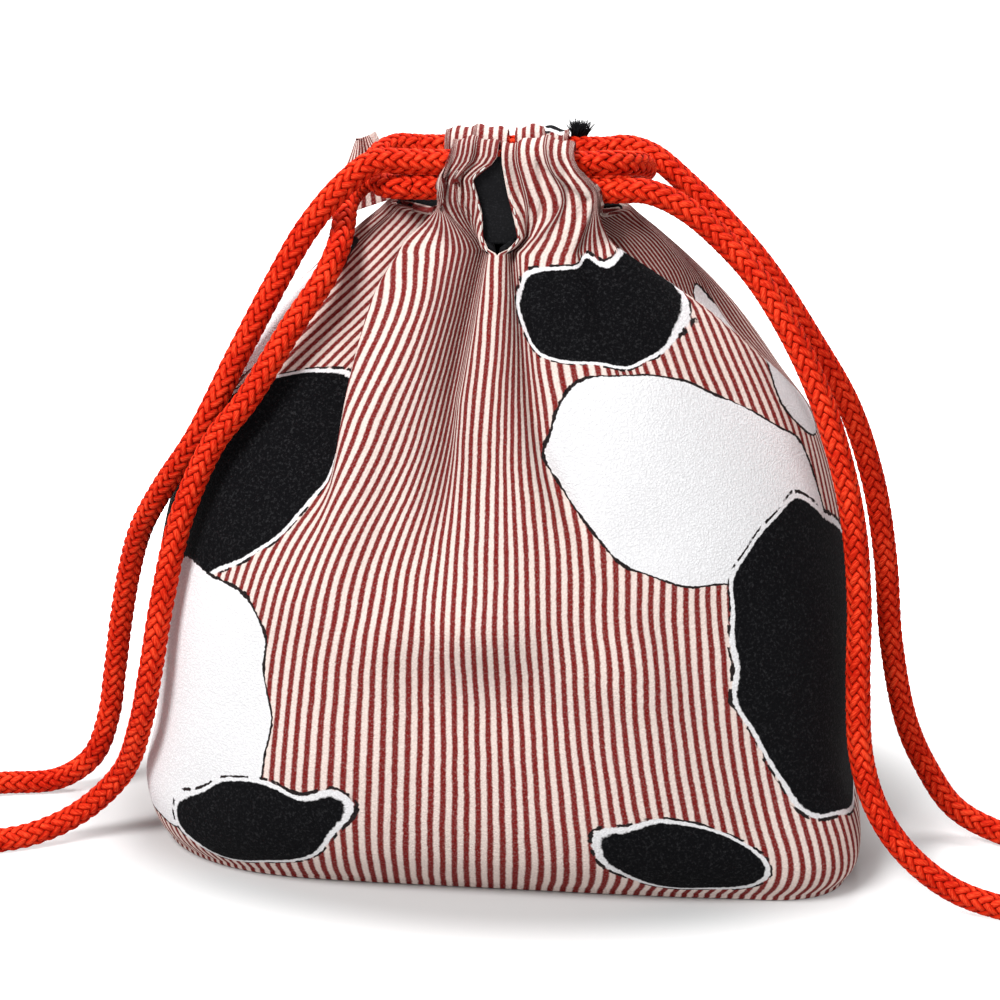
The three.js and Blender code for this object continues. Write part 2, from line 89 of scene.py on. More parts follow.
def hermite(t: Array | float, span: Array | float, start: Array, leaving: Array, end: Array,
            arriving: Array) -> Array:
    """Read the smooth curve that leads from one value to another.

    Args:
        t: Share of the way.
        span: Length of the way.
        start: Value at the start.
        leaving: Slope at the start.
        end: Value at the end.
        arriving: Slope at the end.

    Returns:
        The value at that share of the way.
    """
    near = (2 * t**3 - 3 * t**2 + 1) * start + (t**3 - 2 * t**2 + t) * span * leaving
    far = (3 * t**2 - 2 * t**3) * end + (t**3 - t**2) * span * arriving
    return near + far


def travelled(path: Array) -> Array:
    """Return how far along a path each of its points lies."""
    return np.concatenate([[0.0], np.cumsum(np.linalg.norm(np.diff(path, axis=0), axis=1))])


def unit(vectors: Array, smallest: float = 1e-9) -> Array:
    """Return vectors at length 1. The last axis of the array holds their parts."""
    return vectors / np.maximum(np.linalg.norm(vectors, axis=-1, keepdims=True), smallest)


def grid_faces(rows: int, columns: int, ringed: bool = False) -> Array:
    """Join the points of a grid into faces.

    Args:
        rows: Number of rows.
        columns: Number of points in a row.
        ringed: Whether each row closes to a ring.

    Returns:
        Corner numbers, four for each face.
    """
    i, j = np.meshgrid(np.arange(rows - 1), np.arange(columns if ringed else columns - 1), indexing="ij")
    k = (j + 1) % columns
    corners = [i * columns + j, i * columns + k, (i + 1) * columns + k, (i + 1) * columns + j]
    return np.stack(corners, axis=-1).reshape(-1, 4)


def mesh_object(name: str, points: Array, faces: Sequence[Sequence[int]], body: str = "",
                edges: Sequence[tuple[int, int]] = ()) -> bpy.types.Object:
    """Make a mesh object that rides on a body.

    Args:
        name: Name of the piece.
        points: Corner points in millimetres, one row each.
        faces: Corner numbers of each face.
        body: Name of the body that carries the piece, or nothing.
        edges: Corner numbers of each edge of a mesh without faces.

    Returns:
        The linked object, at the origin, with smooth faces.
    """
    mesh = bpy.data.meshes.new(name)
    mesh.from_pydata((np.asarray(points) * MM).tolist(), list(edges), [list(face) for face in faces])
    mesh.validate()
    mesh.polygons.foreach_set("use_smooth", [True] * len(mesh.polygons))
    mesh.update()
    obj = bpy.data.objects.new(name, mesh)
    bpy.context.scene.collection.objects.link(obj)
    if body:
        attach(obj, body)
    return obj


def write_uv(obj: bpy.types.Object, name: str, per_vertex: Array) -> None:
    """Store a coordinate pair of every vertex as a UV map.

    Args:
        obj: The mesh object.
        name: Name of the UV map.
        per_vertex: One row of two numbers for each vertex.
    """
    mesh = obj.data
    layer = mesh.uv_layers.new(name=name)
    corners = np.empty(len(mesh.loops), dtype=np.int64)
    mesh.loops.foreach_get("vertex_index", corners)
    layer.data.foreach_set("uv", np.asarray(per_vertex, dtype=np.float32)[corners].ravel())


def join_doubles(obj: bpy.types.Object, distance: float) -> None:
    """Merge the points of a mesh that lie within a distance of each other, in millimetres.

    Args:
        obj: The mesh object.
        distance: The distance.
    """
    work = bmesh.new()
    work.from_mesh(obj.data)
    bmesh.ops.remove_doubles(work, verts=work.verts, dist=distance * MM)
    work.to_mesh(obj.data)
    work.free()


def thicken(obj: bpy.types.Object, thickness: float) -> bpy.types.Modifier:
    """Give a sheet a thickness in millimetres, inward from its seen face.

    Args:
        obj: The sheet.
        thickness: Its thickness.

    Returns:
        The modifier that does it.
    """
    solidify = obj.modifiers.new("thickness", "SOLIDIFY")
    solidify.thickness = thickness * MM
    solidify.offset = -1.0
    return solidify


def apply_modifiers(obj: bpy.types.Object) -> None:
    """Turn an object with modifiers into a plain mesh.

    Args:
        obj: The object.
    """
    graph = bpy.context.evaluated_depsgraph_get()
    made = bpy.data.meshes.new_from_object(obj.evaluated_get(graph), preserve_all_data_layers=True,
                                           depsgraph=graph)
    obj.modifiers.clear()
    old = obj.data
    obj.data = made
    bpy.data.meshes.remove(old)


def apply_nodes(obj: bpy.types.Object, tree: bpy.types.NodeTree, values: dict[str, object]) -> None:
    """Run a geometry nodes tree on an object and keep its result as a plain mesh.

    Args:
        obj: The object.
        tree: The tree.
        values: Values of the tree's inputs, by name.
    """
    modifier = obj.modifiers.new("nodes", "NODES")
    modifier.node_group = tree
    for item in tree.interface.items_tree:
        if item.item_type == "SOCKET" and item.in_out == "INPUT" and item.name in values:
            modifier[item.identifier] = values[item.name]
    apply_modifiers(obj)


def spline(points: Sequence[Point], step: float) -> Array:
    """Run a smooth curve through points and cut it into even steps.

    Args:
        points: Points that the curve passes through.
        step: Length of one step in millimetres.

    Returns:
        Points of the curve, one row each, from the first point to the last.
    """
    knots = np.asarray(points, dtype=float)
    chord = np.sqrt(np.linalg.norm(np.diff(knots, axis=0), axis=1))
    at = np.concatenate([[0.0], np.cumsum(chord)])
    slopes = np.gradient(knots, at, axis=0)
    share = np.linspace(0.0, 1.0, 24, endpoint=False)[:, None]
    dense = []
    for i, span in enumerate(np.diff(at)):
        dense.append(hermite(share, span, knots[i], slopes[i], knots[i + 1], slopes[i + 1]))
    curve = np.vstack([*dense, knots[-1:]])
    length = travelled(curve)
    count = max(2, int(round(length[-1] / step)))
    even = np.linspace(0.0, length[-1], count + 1)
    return np.column_stack([np.interp(even, length, axis) for axis in curve.T])


def carried_frames(path: Array) -> tuple[Array, Array]:
    """Carry a pair of cross directions along a path without twisting them.

    Args:
        path: Points of the path, one row each.

    Returns:
        Two arrays of unit vectors, square to the path and to each other at every point.
    """
    tangents = unit(np.gradient(path, axis=0))
    first = np.cross(tangents[0], [0.0, 0.0, 1.0])
    if np.linalg.norm(first) < 1e-3:
        first = np.cross(tangents[0], [0.0, 1.0, 0.0])
    normal = unit(first)
    normals = np.empty_like(path)
    for i, tangent in enumerate(tangents):
        normal = unit(normal - tangent * float(normal @ tangent))
        normals[i] = normal
    return normals, np.cross(tangents, normals)


# Shader tools


@dataclass
class NodeSheet:
    """A node tree with short ways to add and join nodes."""

    tree: bpy.types.NodeTree

    def feed(self, socket: Socket, value: object) -> None:
        """Join an output to a socket, or set the socket to a plain value.

        Args:
            socket: The input socket.
            value: An output socket, a number, or a row of numbers.
        """
        if isinstance(value, Socket):
            self.tree.links.new(value, socket)
        else:
            socket.default_value = value

    def add(self, kind: str, feeds: dict[int | str, object] | None = None,
            **settings: object) -> bpy.types.Node:
        """Add a node.

        Args:
            kind: Blender's type name of the node.
            feeds: What each input is fed, by the input's name or number.
            **settings: Properties of the node.

        Returns:
            The new node.
        """
        node = self.tree.nodes.new(kind)
        for key, value in settings.items():
            setattr(node, key, value)
        for key, value in (feeds or {}).items():
            self.feed(node.inputs[key], value)
        return node

    def math(self, operation: str, *values: object) -> Socket:
        """Return the result of a math node on values or sockets."""
        return self.add("ShaderNodeMath", dict(enumerate(values)), operation=operation).outputs[0]

    def vector(self, operation: str, *values: object, out: int = 0) -> Socket:
        """Return one result of a vector math node on vectors or sockets."""
        return self.add("ShaderNodeVectorMath", dict(enumerate(values)), operation=operation).outputs[out]

    def scaled(self, vector: object, factor: object) -> Socket:
        """Return a vector times a number."""
        return self.add("ShaderNodeVectorMath", {0: vector, "Scale": factor}, operation="SCALE").outputs[0]

    def summed(self, first: object, weight: float, second: object, other: float) -> Socket:
        """Return the sum of two values, each times its weight."""
        return self.math("ADD", self.math("MULTIPLY", first, weight), self.math("MULTIPLY", second, other))

    def nudged(self, value: object, noise: object, amount: float) -> Socket:
        """Return a value moved by a noise, by up to half the amount either way."""
        return self.math("MULTIPLY_ADD", self.math("SUBTRACT", noise, 0.5), amount, value)

    def mix(self, share: object, first: object, second: object) -> Socket:
        """Return a colour mixed from two, by the share of the second."""
        return self.add("ShaderNodeMix", {0: share, 6: first, 7: second}, data_type="RGBA").outputs[2]

    def ramp(self, value: object, low: float, high: float, to_low: float = 0.0,
             to_high: float = 1.0) -> Socket:
        """Return a smooth step between two results as a value goes from low to high."""
        feeds = dict(enumerate((value, low, high, to_low, to_high)))
        return self.add("ShaderNodeMapRange", feeds, interpolation_type="SMOOTHSTEP").outputs[0]

    def noise(self, place: object, scale: float, detail: float = 2.0,
              roughness: float = 0.5) -> Socket:
        """Return a noise read at a place."""
        feeds = {"Vector": place, "Scale": scale, "Detail": detail, "Roughness": roughness}
        return self.add("ShaderNodeTexNoise", feeds).outputs[0]

    def split(self, vector: object) -> Sequence[Socket]:
        """Return the three parts of a vector."""
        return self.add("ShaderNodeSeparateXYZ", {0: vector}).outputs

    def joined(self, *parts: object) -> Socket:
        """Return the vector of up to three parts."""
        return self.add("ShaderNodeCombineXYZ", dict(enumerate(parts))).outputs[0]

    def uv(self, name: str) -> Socket:
        """Return the place on a UV map."""
        return self.add("ShaderNodeUVMap", uv_map=name).outputs[0]

    def place(self) -> Socket:
        """Return the place on the object, in metres."""
        return self.add("ShaderNodeTexCoord").outputs["Object"]

    def placed(self, tree: bpy.types.NodeTree, feeds: dict[int | str, object]) -> Sequence[Socket]:
        """Return the outputs of a shader group that is placed here."""
        return self.add("ShaderNodeGroup", feeds, node_tree=tree).outputs

    def give(self, values: dict[int | str, object]) -> bpy.types.NodeTree:
        """Feed the outputs of a group and return its finished tree."""
        self.add("NodeGroupOutput", values)
        return self.tree


def node_group(name: str, kind: str, inputs: dict[str, str],
               outputs: dict[str, str]) -> tuple[NodeSheet, Sequence[Socket]]:
    """Start a node group with named sockets.

    Args:
        name: Name of the group.
        kind: Kind of its tree, Shader or Geometry.
        inputs: Kind of each input, by its name.
        outputs: Kind of each output, by its name.

    Returns:
        The sheet of the group's tree, and the sockets that bring in its inputs.
    """
    tree = bpy.data.node_groups.new(name, f"{kind}NodeTree")
    for way, sockets in (("INPUT", inputs), ("OUTPUT", outputs)):
        for label, socket in sockets.items():
            tree.interface.new_socket(label, in_out=way, socket_type=f"NodeSocket{socket}")
    sheet = NodeSheet(tree)
    return sheet, sheet.add("NodeGroupInput").outputs


def srgb(red: int, green: int, blue: int) -> Colour:
    """Turn a screen colour of 0..255 into the linear colour that shaders use.

    Args:
        red: Its red part.
        green: Its green part.
        blue: Its blue part.

    Returns:
        The linear colour, opaque.
    """
    parts = [c / 255.0 for c in (red, green, blue)]
    linear = [c / 12.92 if c <= 0.04045 else ((c + 0.055) / 1.055) ** 2.4 for c in parts]
    return (linear[0], linear[1], linear[2], 1.0)


@dataclass(frozen=True)
class CrepeGrain:
    """Fine pebbly grain of crepe cloth, shared by the printed cloth and the lining."""

    name: str = "crepe_grain"
    cells: float = 2300.0
    clumps: float = 2100.0
    specks: float = 1700.0

    def group(self) -> bpy.types.NodeTree:
        """Build the group, once.

        Returns:
            The group, which gives a height and a mask of pale specks.
        """
        known = bpy.data.node_groups.get(self.name)
        if known:
            return known
        sheet, given = node_group(self.name, "Shader", {"Place": "Vector", "Fineness": "Float"},
                                  {"Height": "Float", "Specks": "Float"})
        place = sheet.scaled(given["Place"], given["Fineness"])
        cells = sheet.add("ShaderNodeTexVoronoi", {"Vector": place, "Scale": self.cells}, feature="F1")
        clumps = sheet.noise(place, self.clumps, 3.0, 0.7)
        specks = sheet.noise(place, self.specks, 3.0, 0.75)
        height = sheet.summed(cells.outputs["Distance"], -0.55, clumps, 0.9)
        return sheet.give({"Height": height, "Specks": sheet.ramp(specks, 0.5, 0.68)})


@dataclass(frozen=True)
class Finish:
    """A finish of the pouch. Each kind paints its own colour, relief and roughness."""

    name: str
    specular: float
    relief: float
    relief_depth: float

    def paint(self, sheet: NodeSheet) -> tuple[object, object, object]:
        """Return the colour, the height of the relief and the roughness."""
        raise NotImplementedError

    def material(self) -> bpy.types.Material:
        """Build the material, once.

        Returns:
            The material.
        """
        known = bpy.data.materials.get(self.name)
        if known:
            return known
        material = bpy.data.materials.new(self.name)
        material.use_nodes = True
        sheet = NodeSheet(material.node_tree)
        colour, height, roughness = self.paint(sheet)
        raised = sheet.add("ShaderNodeBump", {"Strength": self.relief, "Distance": self.relief_depth * MM,
                                              "Height": height})
        shader = material.node_tree.nodes["Principled BSDF"]
        sheet.feed(shader.inputs["Base Color"], colour)
        sheet.feed(shader.inputs["Roughness"], roughness)
        sheet.feed(shader.inputs["Specular IOR Level"], self.specular)
        sheet.feed(shader.inputs["Normal"], raised.outputs[0])
        return material

    def dress(self, obj: bpy.types.Object, slot: str) -> None:
        """Make this the only material of an object.

        Args:
            obj: The object.
            slot: Name of the material slot; not used.
        """
        obj.data.materials.clear()
        obj.data.materials.append(self.material())


@dataclass(frozen=True)
class CordFinish(Finish):
    """Braided cord of soft matt yarn."""

    name: str = "red_cord_yarn"
    specular: float = 0.05
    relief: float = 0.55
    relief_depth: float = 0.12
    roughness: float = 0.7
    # Painted highlight on the top of each yarn.
    crest_highlight: Colour = srgb(246, 84, 48)
    light: Colour = srgb(225, 40, 9)
    shade: Colour = srgb(180, 15, 1)
    # Painted shade on the sides of each yarn, where the yarns meet.
    gap: Colour = srgb(58, 1, 0)

    def paint(self, sheet: NodeSheet) -> tuple[object, object, object]:
        """Return the colour, relief and roughness of round yarns with slanting fibres, painted highlight and
        painted shade.

        Args:
            sheet: The material's sheet.

        Returns:
            Colour, height of the relief and roughness.
        """
        parts = sheet.split(sheet.uv("yarn"))
        around, along = parts[0], parts[1]
        slanted = sheet.math("MULTIPLY_ADD", along, 0.9, sheet.math("MULTIPLY", around, 10.0))
        fibres = sheet.noise(sheet.joined(slanted, sheet.math("MULTIPLY", along, 0.35)), 2.4, 2.0, 0.55)
        tone = sheet.summed(fibres, 0.7, sheet.noise(sheet.place(), 160.0), 0.3)
        height = sheet.math("SINE", sheet.math("MULTIPLY", around, 2.0 * math.pi))
        # Painted highlight: the outward top of each yarn is mixed toward a pale orange.
        lit = sheet.math("MULTIPLY", sheet.ramp(height, 0.7, 1.0), sheet.ramp(tone, 0.42, 0.64, 0.1, 0.8))
        colour = sheet.mix(sheet.ramp(tone, 0.36, 0.66), self.shade, self.light)
        colour = sheet.mix(lit, colour, self.crest_highlight)
        # Painted shade: each yarn goes dark toward its sides and underside, where the yarns meet.
        colour = sheet.mix(sheet.ramp(height, 0.05, 0.85), self.gap, colour)
        return colour, fibres, self.roughness


@dataclass(frozen=True)
class LiningFinish(Finish):
    """Plain black lining cloth."""

    name: str = "black_lining_cloth"
    specular: float = 0.08
    relief: float = 0.35
    relief_depth: float = 0.2
    roughness: float = 0.78
    fineness: float = 1.5
    colour: Colour = srgb(15, 15, 17)
    speck: Colour = srgb(120, 120, 125)

    def paint(self, sheet: NodeSheet) -> tuple[object, object, object]:
        """Return the colour, relief and roughness of fine black crepe.

        Args:
            sheet: The material's sheet.

        Returns:
            Colour, height of the relief and roughness.
        """
        grain = sheet.placed(CrepeGrain().group(), {"Place": sheet.place(), "Fineness": self.fineness})
        colour = sheet.mix(sheet.math("MULTIPLY", grain["Specks"], 0.06), self.colour, self.speck)
        return colour, grain["Height"], self.roughness


@dataclass(frozen=True)
class BoardFinish(Finish):
    """Pale pressed board with short fibres."""

    name: str = "pressed_board"
    specular: float = 0.5
    relief: float = 0.4
    relief_depth: float = 0.2
    pale: Colour = srgb(217, 211, 198)
    dark: Colour = srgb(176, 166, 148)

    def paint(self, sheet: NodeSheet) -> tuple[object, object, object]:
        """Return the colour, relief and roughness of board.

        Args:
            sheet: The material's sheet.

        Returns:
            Colour, height of the relief and roughness.
        """
        place = sheet.place()
        fibres = sheet.noise(sheet.vector("MULTIPLY", place, (1.0, 4.0, 1.0)), 900.0, 4.0, 0.65)
        tone = sheet.summed(fibres, 0.7, sheet.noise(place, 60.0), 0.3)
        colour = sheet.mix(sheet.ramp(tone, 0.38, 0.62), self.dark, self.pale)
        return colour, fibres, sheet.ramp(fibres, 0.3, 0.7, 0.9, 0.7)


@dataclass(frozen=True)
class ThreadFinish(Finish):
    """Off-white sewing thread."""

    name: str = "sewing_thread"
    specular: float = 0.5
    relief: float = 0.3
    relief_depth: float = 0.1
    roughness: float = 0.6
    pale: Colour = srgb(232, 228, 222)
    dark: Colour = srgb(205, 200, 194)

    def paint(self, sheet: NodeSheet) -> tuple[object, object, object]:
        """Return the colour, relief and roughness of thread."""
        fibres = sheet.noise(sheet.place(), 5200.0, 2.0, 0.6)
        return sheet.mix(fibres, self.dark, self.pale), fibres, self.roughness


# Print


@dataclass(frozen=True)
class Pebble:
    """A plain rounded shape of the print, in millimetres of the weave, with its turn in degrees."""

    x: float
    y: float
    half_width: float
    half_height: float
    turn: float
    dark: bool


PEBBLES = tuple(Pebble(*row) for row in (
    (52, 92, 35, 22, -22, False), (-78, 86, 31, 22, 48, True), (80, 52, 25, 33, 14, True),
    (-70, 40, 26, 30, -12, False), (-47, 17, 18, 10, 14, True), (40, 14, 15, 8, -18, True),
    (38, 133, 24, 13, -14, True), (-104, 122, 12, 17, 12, False), (98, 112, 18, 14, 30, False),
    (246, 84, 38, 24, 22, True), (330, 104, 30, 22, -30, False), (345, 46, 26, 32, 8, True),
    (272, 30, 28, 16, 12, False), (308, 160, 15, 15, 0, True), (206, 34, 22, 26, -12, False),
))


@dataclass(frozen=True)
class PrintFinish(Finish):
    """Printed crepe cloth: fine dark red stripes on cream with plain black and white pebbles."""

    name: str = "printed_crepe"
    specular: float = 0.05
    relief: float = 0.7
    relief_depth: float = 0.3
    roughness: float = 0.8
    cream: Colour = srgb(242, 223, 214)
    red: Colour = srgb(122, 9, 7)
    # Deep red for painted shade in the gathers, where the weave is packed close.
    gathered: Colour = srgb(64, 10, 9)
    white: Colour = srgb(241, 241, 243)
    black: Colour = srgb(6, 6, 8)
    speck: Colour = srgb(205, 205, 210)
    # Greyish tone for painted shade in the hollows of the crepe grain.
    pit_shade: Colour = srgb(96, 80, 78)
    pitch: float = 2.455
    filled: float = 0.5
    fuller: float = 0.16
    # Share of that painted shade where the weave is packed closest.
    packed_shade: float = 0.36
    stray: float = 7.0
    outline: float = 1.15

    def stripes(self) -> bpy.types.NodeTree:
        """Build the group that draws the stripes.

        Returns:
            The group, which turns a place in the weave into a mask.
        """
        sheet, given = node_group("fine_stripes", "Shader",
                                  {"Place": "Vector", "Pitch": "Float", "Filled": "Float"}, {"Mask": "Float"})
        place = given["Place"]
        across = sheet.nudged(sheet.split(place)[0], sheet.noise(place, 0.12, 1.0), 0.5)
        cycle = sheet.math("FRACT", sheet.math("DIVIDE", across, given["Pitch"]))
        away = sheet.math("MULTIPLY", sheet.math("ABSOLUTE", sheet.math("SUBTRACT", cycle, 0.5)), 2.0)
        edge = sheet.nudged(given["Filled"], sheet.noise(place, 1.5), 0.34)
        mask = sheet.ramp(sheet.math("SUBTRACT", edge, away), -0.17, 0.17)
        fleck = sheet.ramp(sheet.noise(place, 2.1, 2.0, 0.7), 0.46, 0.76)
        worn = sheet.math("MULTIPLY_ADD", fleck, -0.17, 1.0)
        return sheet.give({"Mask": sheet.math("MULTIPLY", mask, worn)})

    def pebble(self) -> bpy.types.NodeTree:
        """Build the group that draws one rounded shape with an outline a little outside it.

        Returns:
            The group, which turns a place in the weave into four masks.
        """
        inputs = {"Place": "Vector", "Centre": "Vector", "Reach": "Vector", "Turn": "Float", "Small": "Float"}
        masks = ("Inside", "Halo", "Dashes", "Outline")
        sheet, given = node_group("pebble_shape", "Shader", inputs, dict.fromkeys(masks, "Float"))
        place = given["Place"]
        away = sheet.vector("SUBTRACT", place, given["Centre"])
        turned = sheet.add("ShaderNodeVectorRotate", {"Vector": away, "Angle": given["Turn"]},
                           rotation_type="Z_AXIS")
        ring = sheet.vector("LENGTH", sheet.vector("DIVIDE", turned.outputs[0], given["Reach"]), out=1)
        gap = sheet.math("MULTIPLY", sheet.math("SUBTRACT", ring, 1.0), given["Small"])
        gap = sheet.nudged(gap, sheet.noise(sheet.vector("ADD", away, given["Reach"]), 0.04, 1.0), 15.0)
        gap = sheet.nudged(gap, sheet.noise(place, 0.9), 0.7)
        half = sheet.math("MULTIPLY_ADD", sheet.noise(place, 0.22, 1.0), 0.62, 0.02)
        from_dashes = sheet.math("ABSOLUTE", sheet.math("SUBTRACT", gap, self.outline))
        dashes = sheet.ramp(sheet.math("SUBTRACT", half, from_dashes), 0.0, 0.12)
        broken = sheet.ramp(sheet.noise(place, 0.33, 1.0), 0.44, 0.5)
        line = sheet.math("SUBTRACT", half, sheet.math("ABSOLUTE", gap))
        halo = sheet.math("MULTIPLY", sheet.ramp(gap, -0.3, 0.0), sheet.ramp(gap, 1.1, 0.8))
        return sheet.give({"Inside": sheet.ramp(gap, 0.14, -0.14), "Halo": halo,
                           "Dashes": sheet.math("MULTIPLY", dashes, broken),
                           "Outline": sheet.ramp(line, 0.0, 0.12)})

    def ground(self, sheet: NodeSheet, place: object) -> Socket:
        """Paint the stripes, which are fuller where the weave is packed close, as small pleats hide the
        cream, and carry painted shade there.

        Args:
            sheet: The material's sheet.
            place: Place in the weave, in millimetres.

        Returns:
            The colour.
        """
        packed = sheet.ramp(sheet.split(sheet.uv("packing"))[0], 1.1, 2.3)
        filled = sheet.math("MULTIPLY_ADD", packed, self.fuller, self.filled)
        mask = sheet.placed(self.stripes(), {"Place": place, "Pitch": self.pitch, "Filled": filled})[0]
        colour = sheet.mix(mask, self.cream, self.red)
        # Painted shade: the packed gathers are mixed toward the deep red.
        return sheet.mix(sheet.math("MULTIPLY", packed, self.packed_shade), colour, self.gathered)

    def paint(self, sheet: NodeSheet) -> tuple[object, object, object]:
        """Return the colour, relief and roughness of the printed cloth.

        Args:
            sheet: The material's sheet.

        Returns:
            Colour, height of the relief and roughness.
        """
        place = sheet.scaled(sheet.uv("weave"), 100.0)
        stray = sheet.nudged(0.0, sheet.noise(place, 0.017, 0.0), self.stray)
        place = sheet.vector("ADD", place, sheet.joined(stray))
        colour = self.ground(sheet, place)
        dark: object = 0.0
        tree = self.pebble()
        for pebble in PEBBLES:
            shape = sheet.placed(tree, {
                "Place": place, "Centre": (pebble.x, pebble.y, 0.0),
                "Reach": (pebble.half_width, pebble.half_height, 1.0), "Turn": math.radians(-pebble.turn),
                "Small": min(pebble.half_width, pebble.half_height)})
            if pebble.dark:
                colour = sheet.mix(shape["Halo"], colour, self.white)
                colour = sheet.mix(shape["Dashes"], colour, self.black)
                colour = sheet.mix(shape["Inside"], colour, self.black)
                dark = sheet.math("MAXIMUM", dark, shape["Inside"])
            else:
                colour = sheet.mix(shape["Inside"], colour, self.white)
                colour = sheet.mix(shape["Outline"], colour, self.black)
                dark = sheet.math("MULTIPLY", dark, sheet.math("SUBTRACT", 1.0, shape["Inside"]))
        grain = sheet.placed(CrepeGrain().group(), {"Place": sheet.place(), "Fineness": 1.0})
        specks = sheet.math("MULTIPLY", grain["Specks"], sheet.math("MULTIPLY_ADD", dark, 0.012, 0.016))
        colour = sheet.mix(specks, colour, self.speck)
        # Painted shade: the low hollows of the grain's relief are darkened, except on the black pebbles.
        pit_shade_mask = sheet.math("MULTIPLY", sheet.ramp(grain["Height"], 0.12, 0.4, 0.16, 0.0),
                          sheet.math("MULTIPLY_ADD", dark, -1.0, 1.0))
        return sheet.mix(pit_shade_mask, colour, self.pit_shade), grain["Height"], self.roughness


# Cords


class Half(Enum):
    """The halves of the pouch, by their direction along Y."""

    FRONT = -1
    BACK = 1

    @property
    def label(self) -> str:
        """Return the word for this half in the names of pieces."""
        return self.name.lower()

    @property
    def mouth(self) -> str:
        """Return the body that carries this half of the mouth."""
        return f"{self.label}_mouth"


class Lead(Enum):
    """The four free strands, each with its piece, its side, the casing it leaves and whether it leaves high.

    A side is -1 on the left and 1 on the right.
    """

    LEFT_FRONT = ("left_front_strand", -1, Half.FRONT, True)
    LEFT_BACK = ("left_back_strand", -1, Half.BACK, False)
    RIGHT_FRONT = ("right_front_strand", 1, Half.FRONT, False)
    RIGHT_BACK = ("right_back_strand", 1, Half.BACK, True)


@dataclass
class Braid:
    """A round braid of yarns that pass two over and two under each other."""

    diameter: float = 5.0
    yarns_each_way: int = 8
    turn_length: float = 20.5
    yarn_width: float = 1.72
    yarn_thickness: float = 1.12
    wave: float = 0.4
    squareness: float = 1.5
    yarn_sides: int = 7
    core_sides: int = 10
    core_gap: float = 0.1
    step: float = 0.46

    def tube(self, path: Array, wide: Array, high: Array, sides: int) -> Tube:
        """Sweep an oval along a path and close its ends.

        Args:
            path: Points of the middle line.
            wide: Half width of the oval at each point, as a vector.
            high: Half height of the oval at each point, as a vector.
            sides: Number of corners round the oval.

        Returns:
            Points, faces, and for each point its place round and along the tube.
        """
        turn = np.arange(sides) * 2.0 * math.pi / sides
        rings = (path[:, None, :] + np.cos(turn)[None, :, None] * wide[:, None, :]
                 + np.sin(turn)[None, :, None] * high[:, None, :])
        last = (len(path) - 1) * sides
        faces = grid_faces(len(path), sides, ringed=True).tolist()
        faces += [list(range(sides))[::-1], list(range(last, last + sides))]
        places = np.broadcast_arrays(np.arange(sides)[None, :] / sides, travelled(path)[:, None])
        return rings.reshape(-1, 3), faces, np.stack(places, axis=-1).reshape(-1, 2)

    def tubes(self, path: Array, lead: float, lay: float, part: tuple[float, float]) -> list[Tube]:
        """Make the core and every yarn of one path.

        Args:
            path: Points of the middle line.
            lead: 0.5, or -0.5 where the braid is laid from its other end.
            lay: Length of one turn of the yarns.
            part: Shares of the path between which the braid is made.

        Returns:
            The core and the yarns.
        """
        side, up = carried_frames(path)
        along = travelled(path)
        kept = (along >= part[0] * along[-1] - 1e-6) & (along <= part[1] * along[-1] + 1e-6)
        path, side, up, along = path[kept], side[kept], up[kept], along[kept]
        crossing = 2.0 * self.yarns_each_way * along / lay
        mean = self.diameter / 2.0 - self.yarn_thickness / 2.0 - self.wave * 0.6
        core = mean - self.core_gap
        made = [self.tube(path, side * core, up * core, self.core_sides)]
        for way in (1, -1):
            for number in range(self.yarns_each_way):
                over = way * np.cos(0.5 * math.pi * (2 * number + way * crossing - lead))
                over = np.tanh(self.squareness * over) / math.tanh(self.squareness)
                angle = 2.0 * math.pi * (way * along / lay + number / self.yarns_each_way)
                out = np.cos(angle)[:, None] * side + np.sin(angle)[:, None] * up
                middle = path + out * (mean + self.wave * over)[:, None]
                run = unit(np.gradient(middle, axis=0))
                across = unit(np.cross(run, out))
                outward = np.cross(across, run)
                width = self.yarn_width / 2.0 * (0.94 + 0.1 * over)
                points, faces, place = self.tube(middle, across * width[:, None],
                                                 outward * self.yarn_thickness / 2.0, self.yarn_sides)
                if np.dot(np.cross(across[0], outward[0]), run[0]) < 0:
                    faces = [face[::-1] for face in faces]
                place = place + np.array([3.0 * number + 40.0 * (way > 0), 7.3 * number])
                made.append((points, faces, place))
        return made

    def build(self, name: str, paths: Sequence[Array], body: str = "", lead: float = 0.5, lay: float = 0.0,
              part: tuple[float, float] = (0.0, 1.0)) -> bpy.types.Object:
        """Make the braid along one or more paths.

        Args:
            name: Name of the piece.
            paths: Points of each middle line in even steps, in millimetres.
            body: Name of the body that carries it, or nothing.
            lead: 0.5, or -0.5 where the braid is laid from its other end.
            lay: Length of one turn of the yarns, or 0 for the usual one.
            part: Shares of the path between which the braid is made.

        Returns:
            The braid as one mesh with a map of its yarns.
        """
        tubes = [tube for path in paths for tube in self.tubes(path, lead, lay or self.turn_length, part)]
        faces: list[list[int]] = []
        first = 0
        for tube in tubes:
            faces.extend([[k + first for k in face] for face in tube[1]])
            first += len(tube[0])
        obj = mesh_object(name, np.vstack([tube[0] for tube in tubes]), faces, body)
        write_uv(obj, "yarn", np.vstack([tube[2] for tube in tubes]))
        return obj


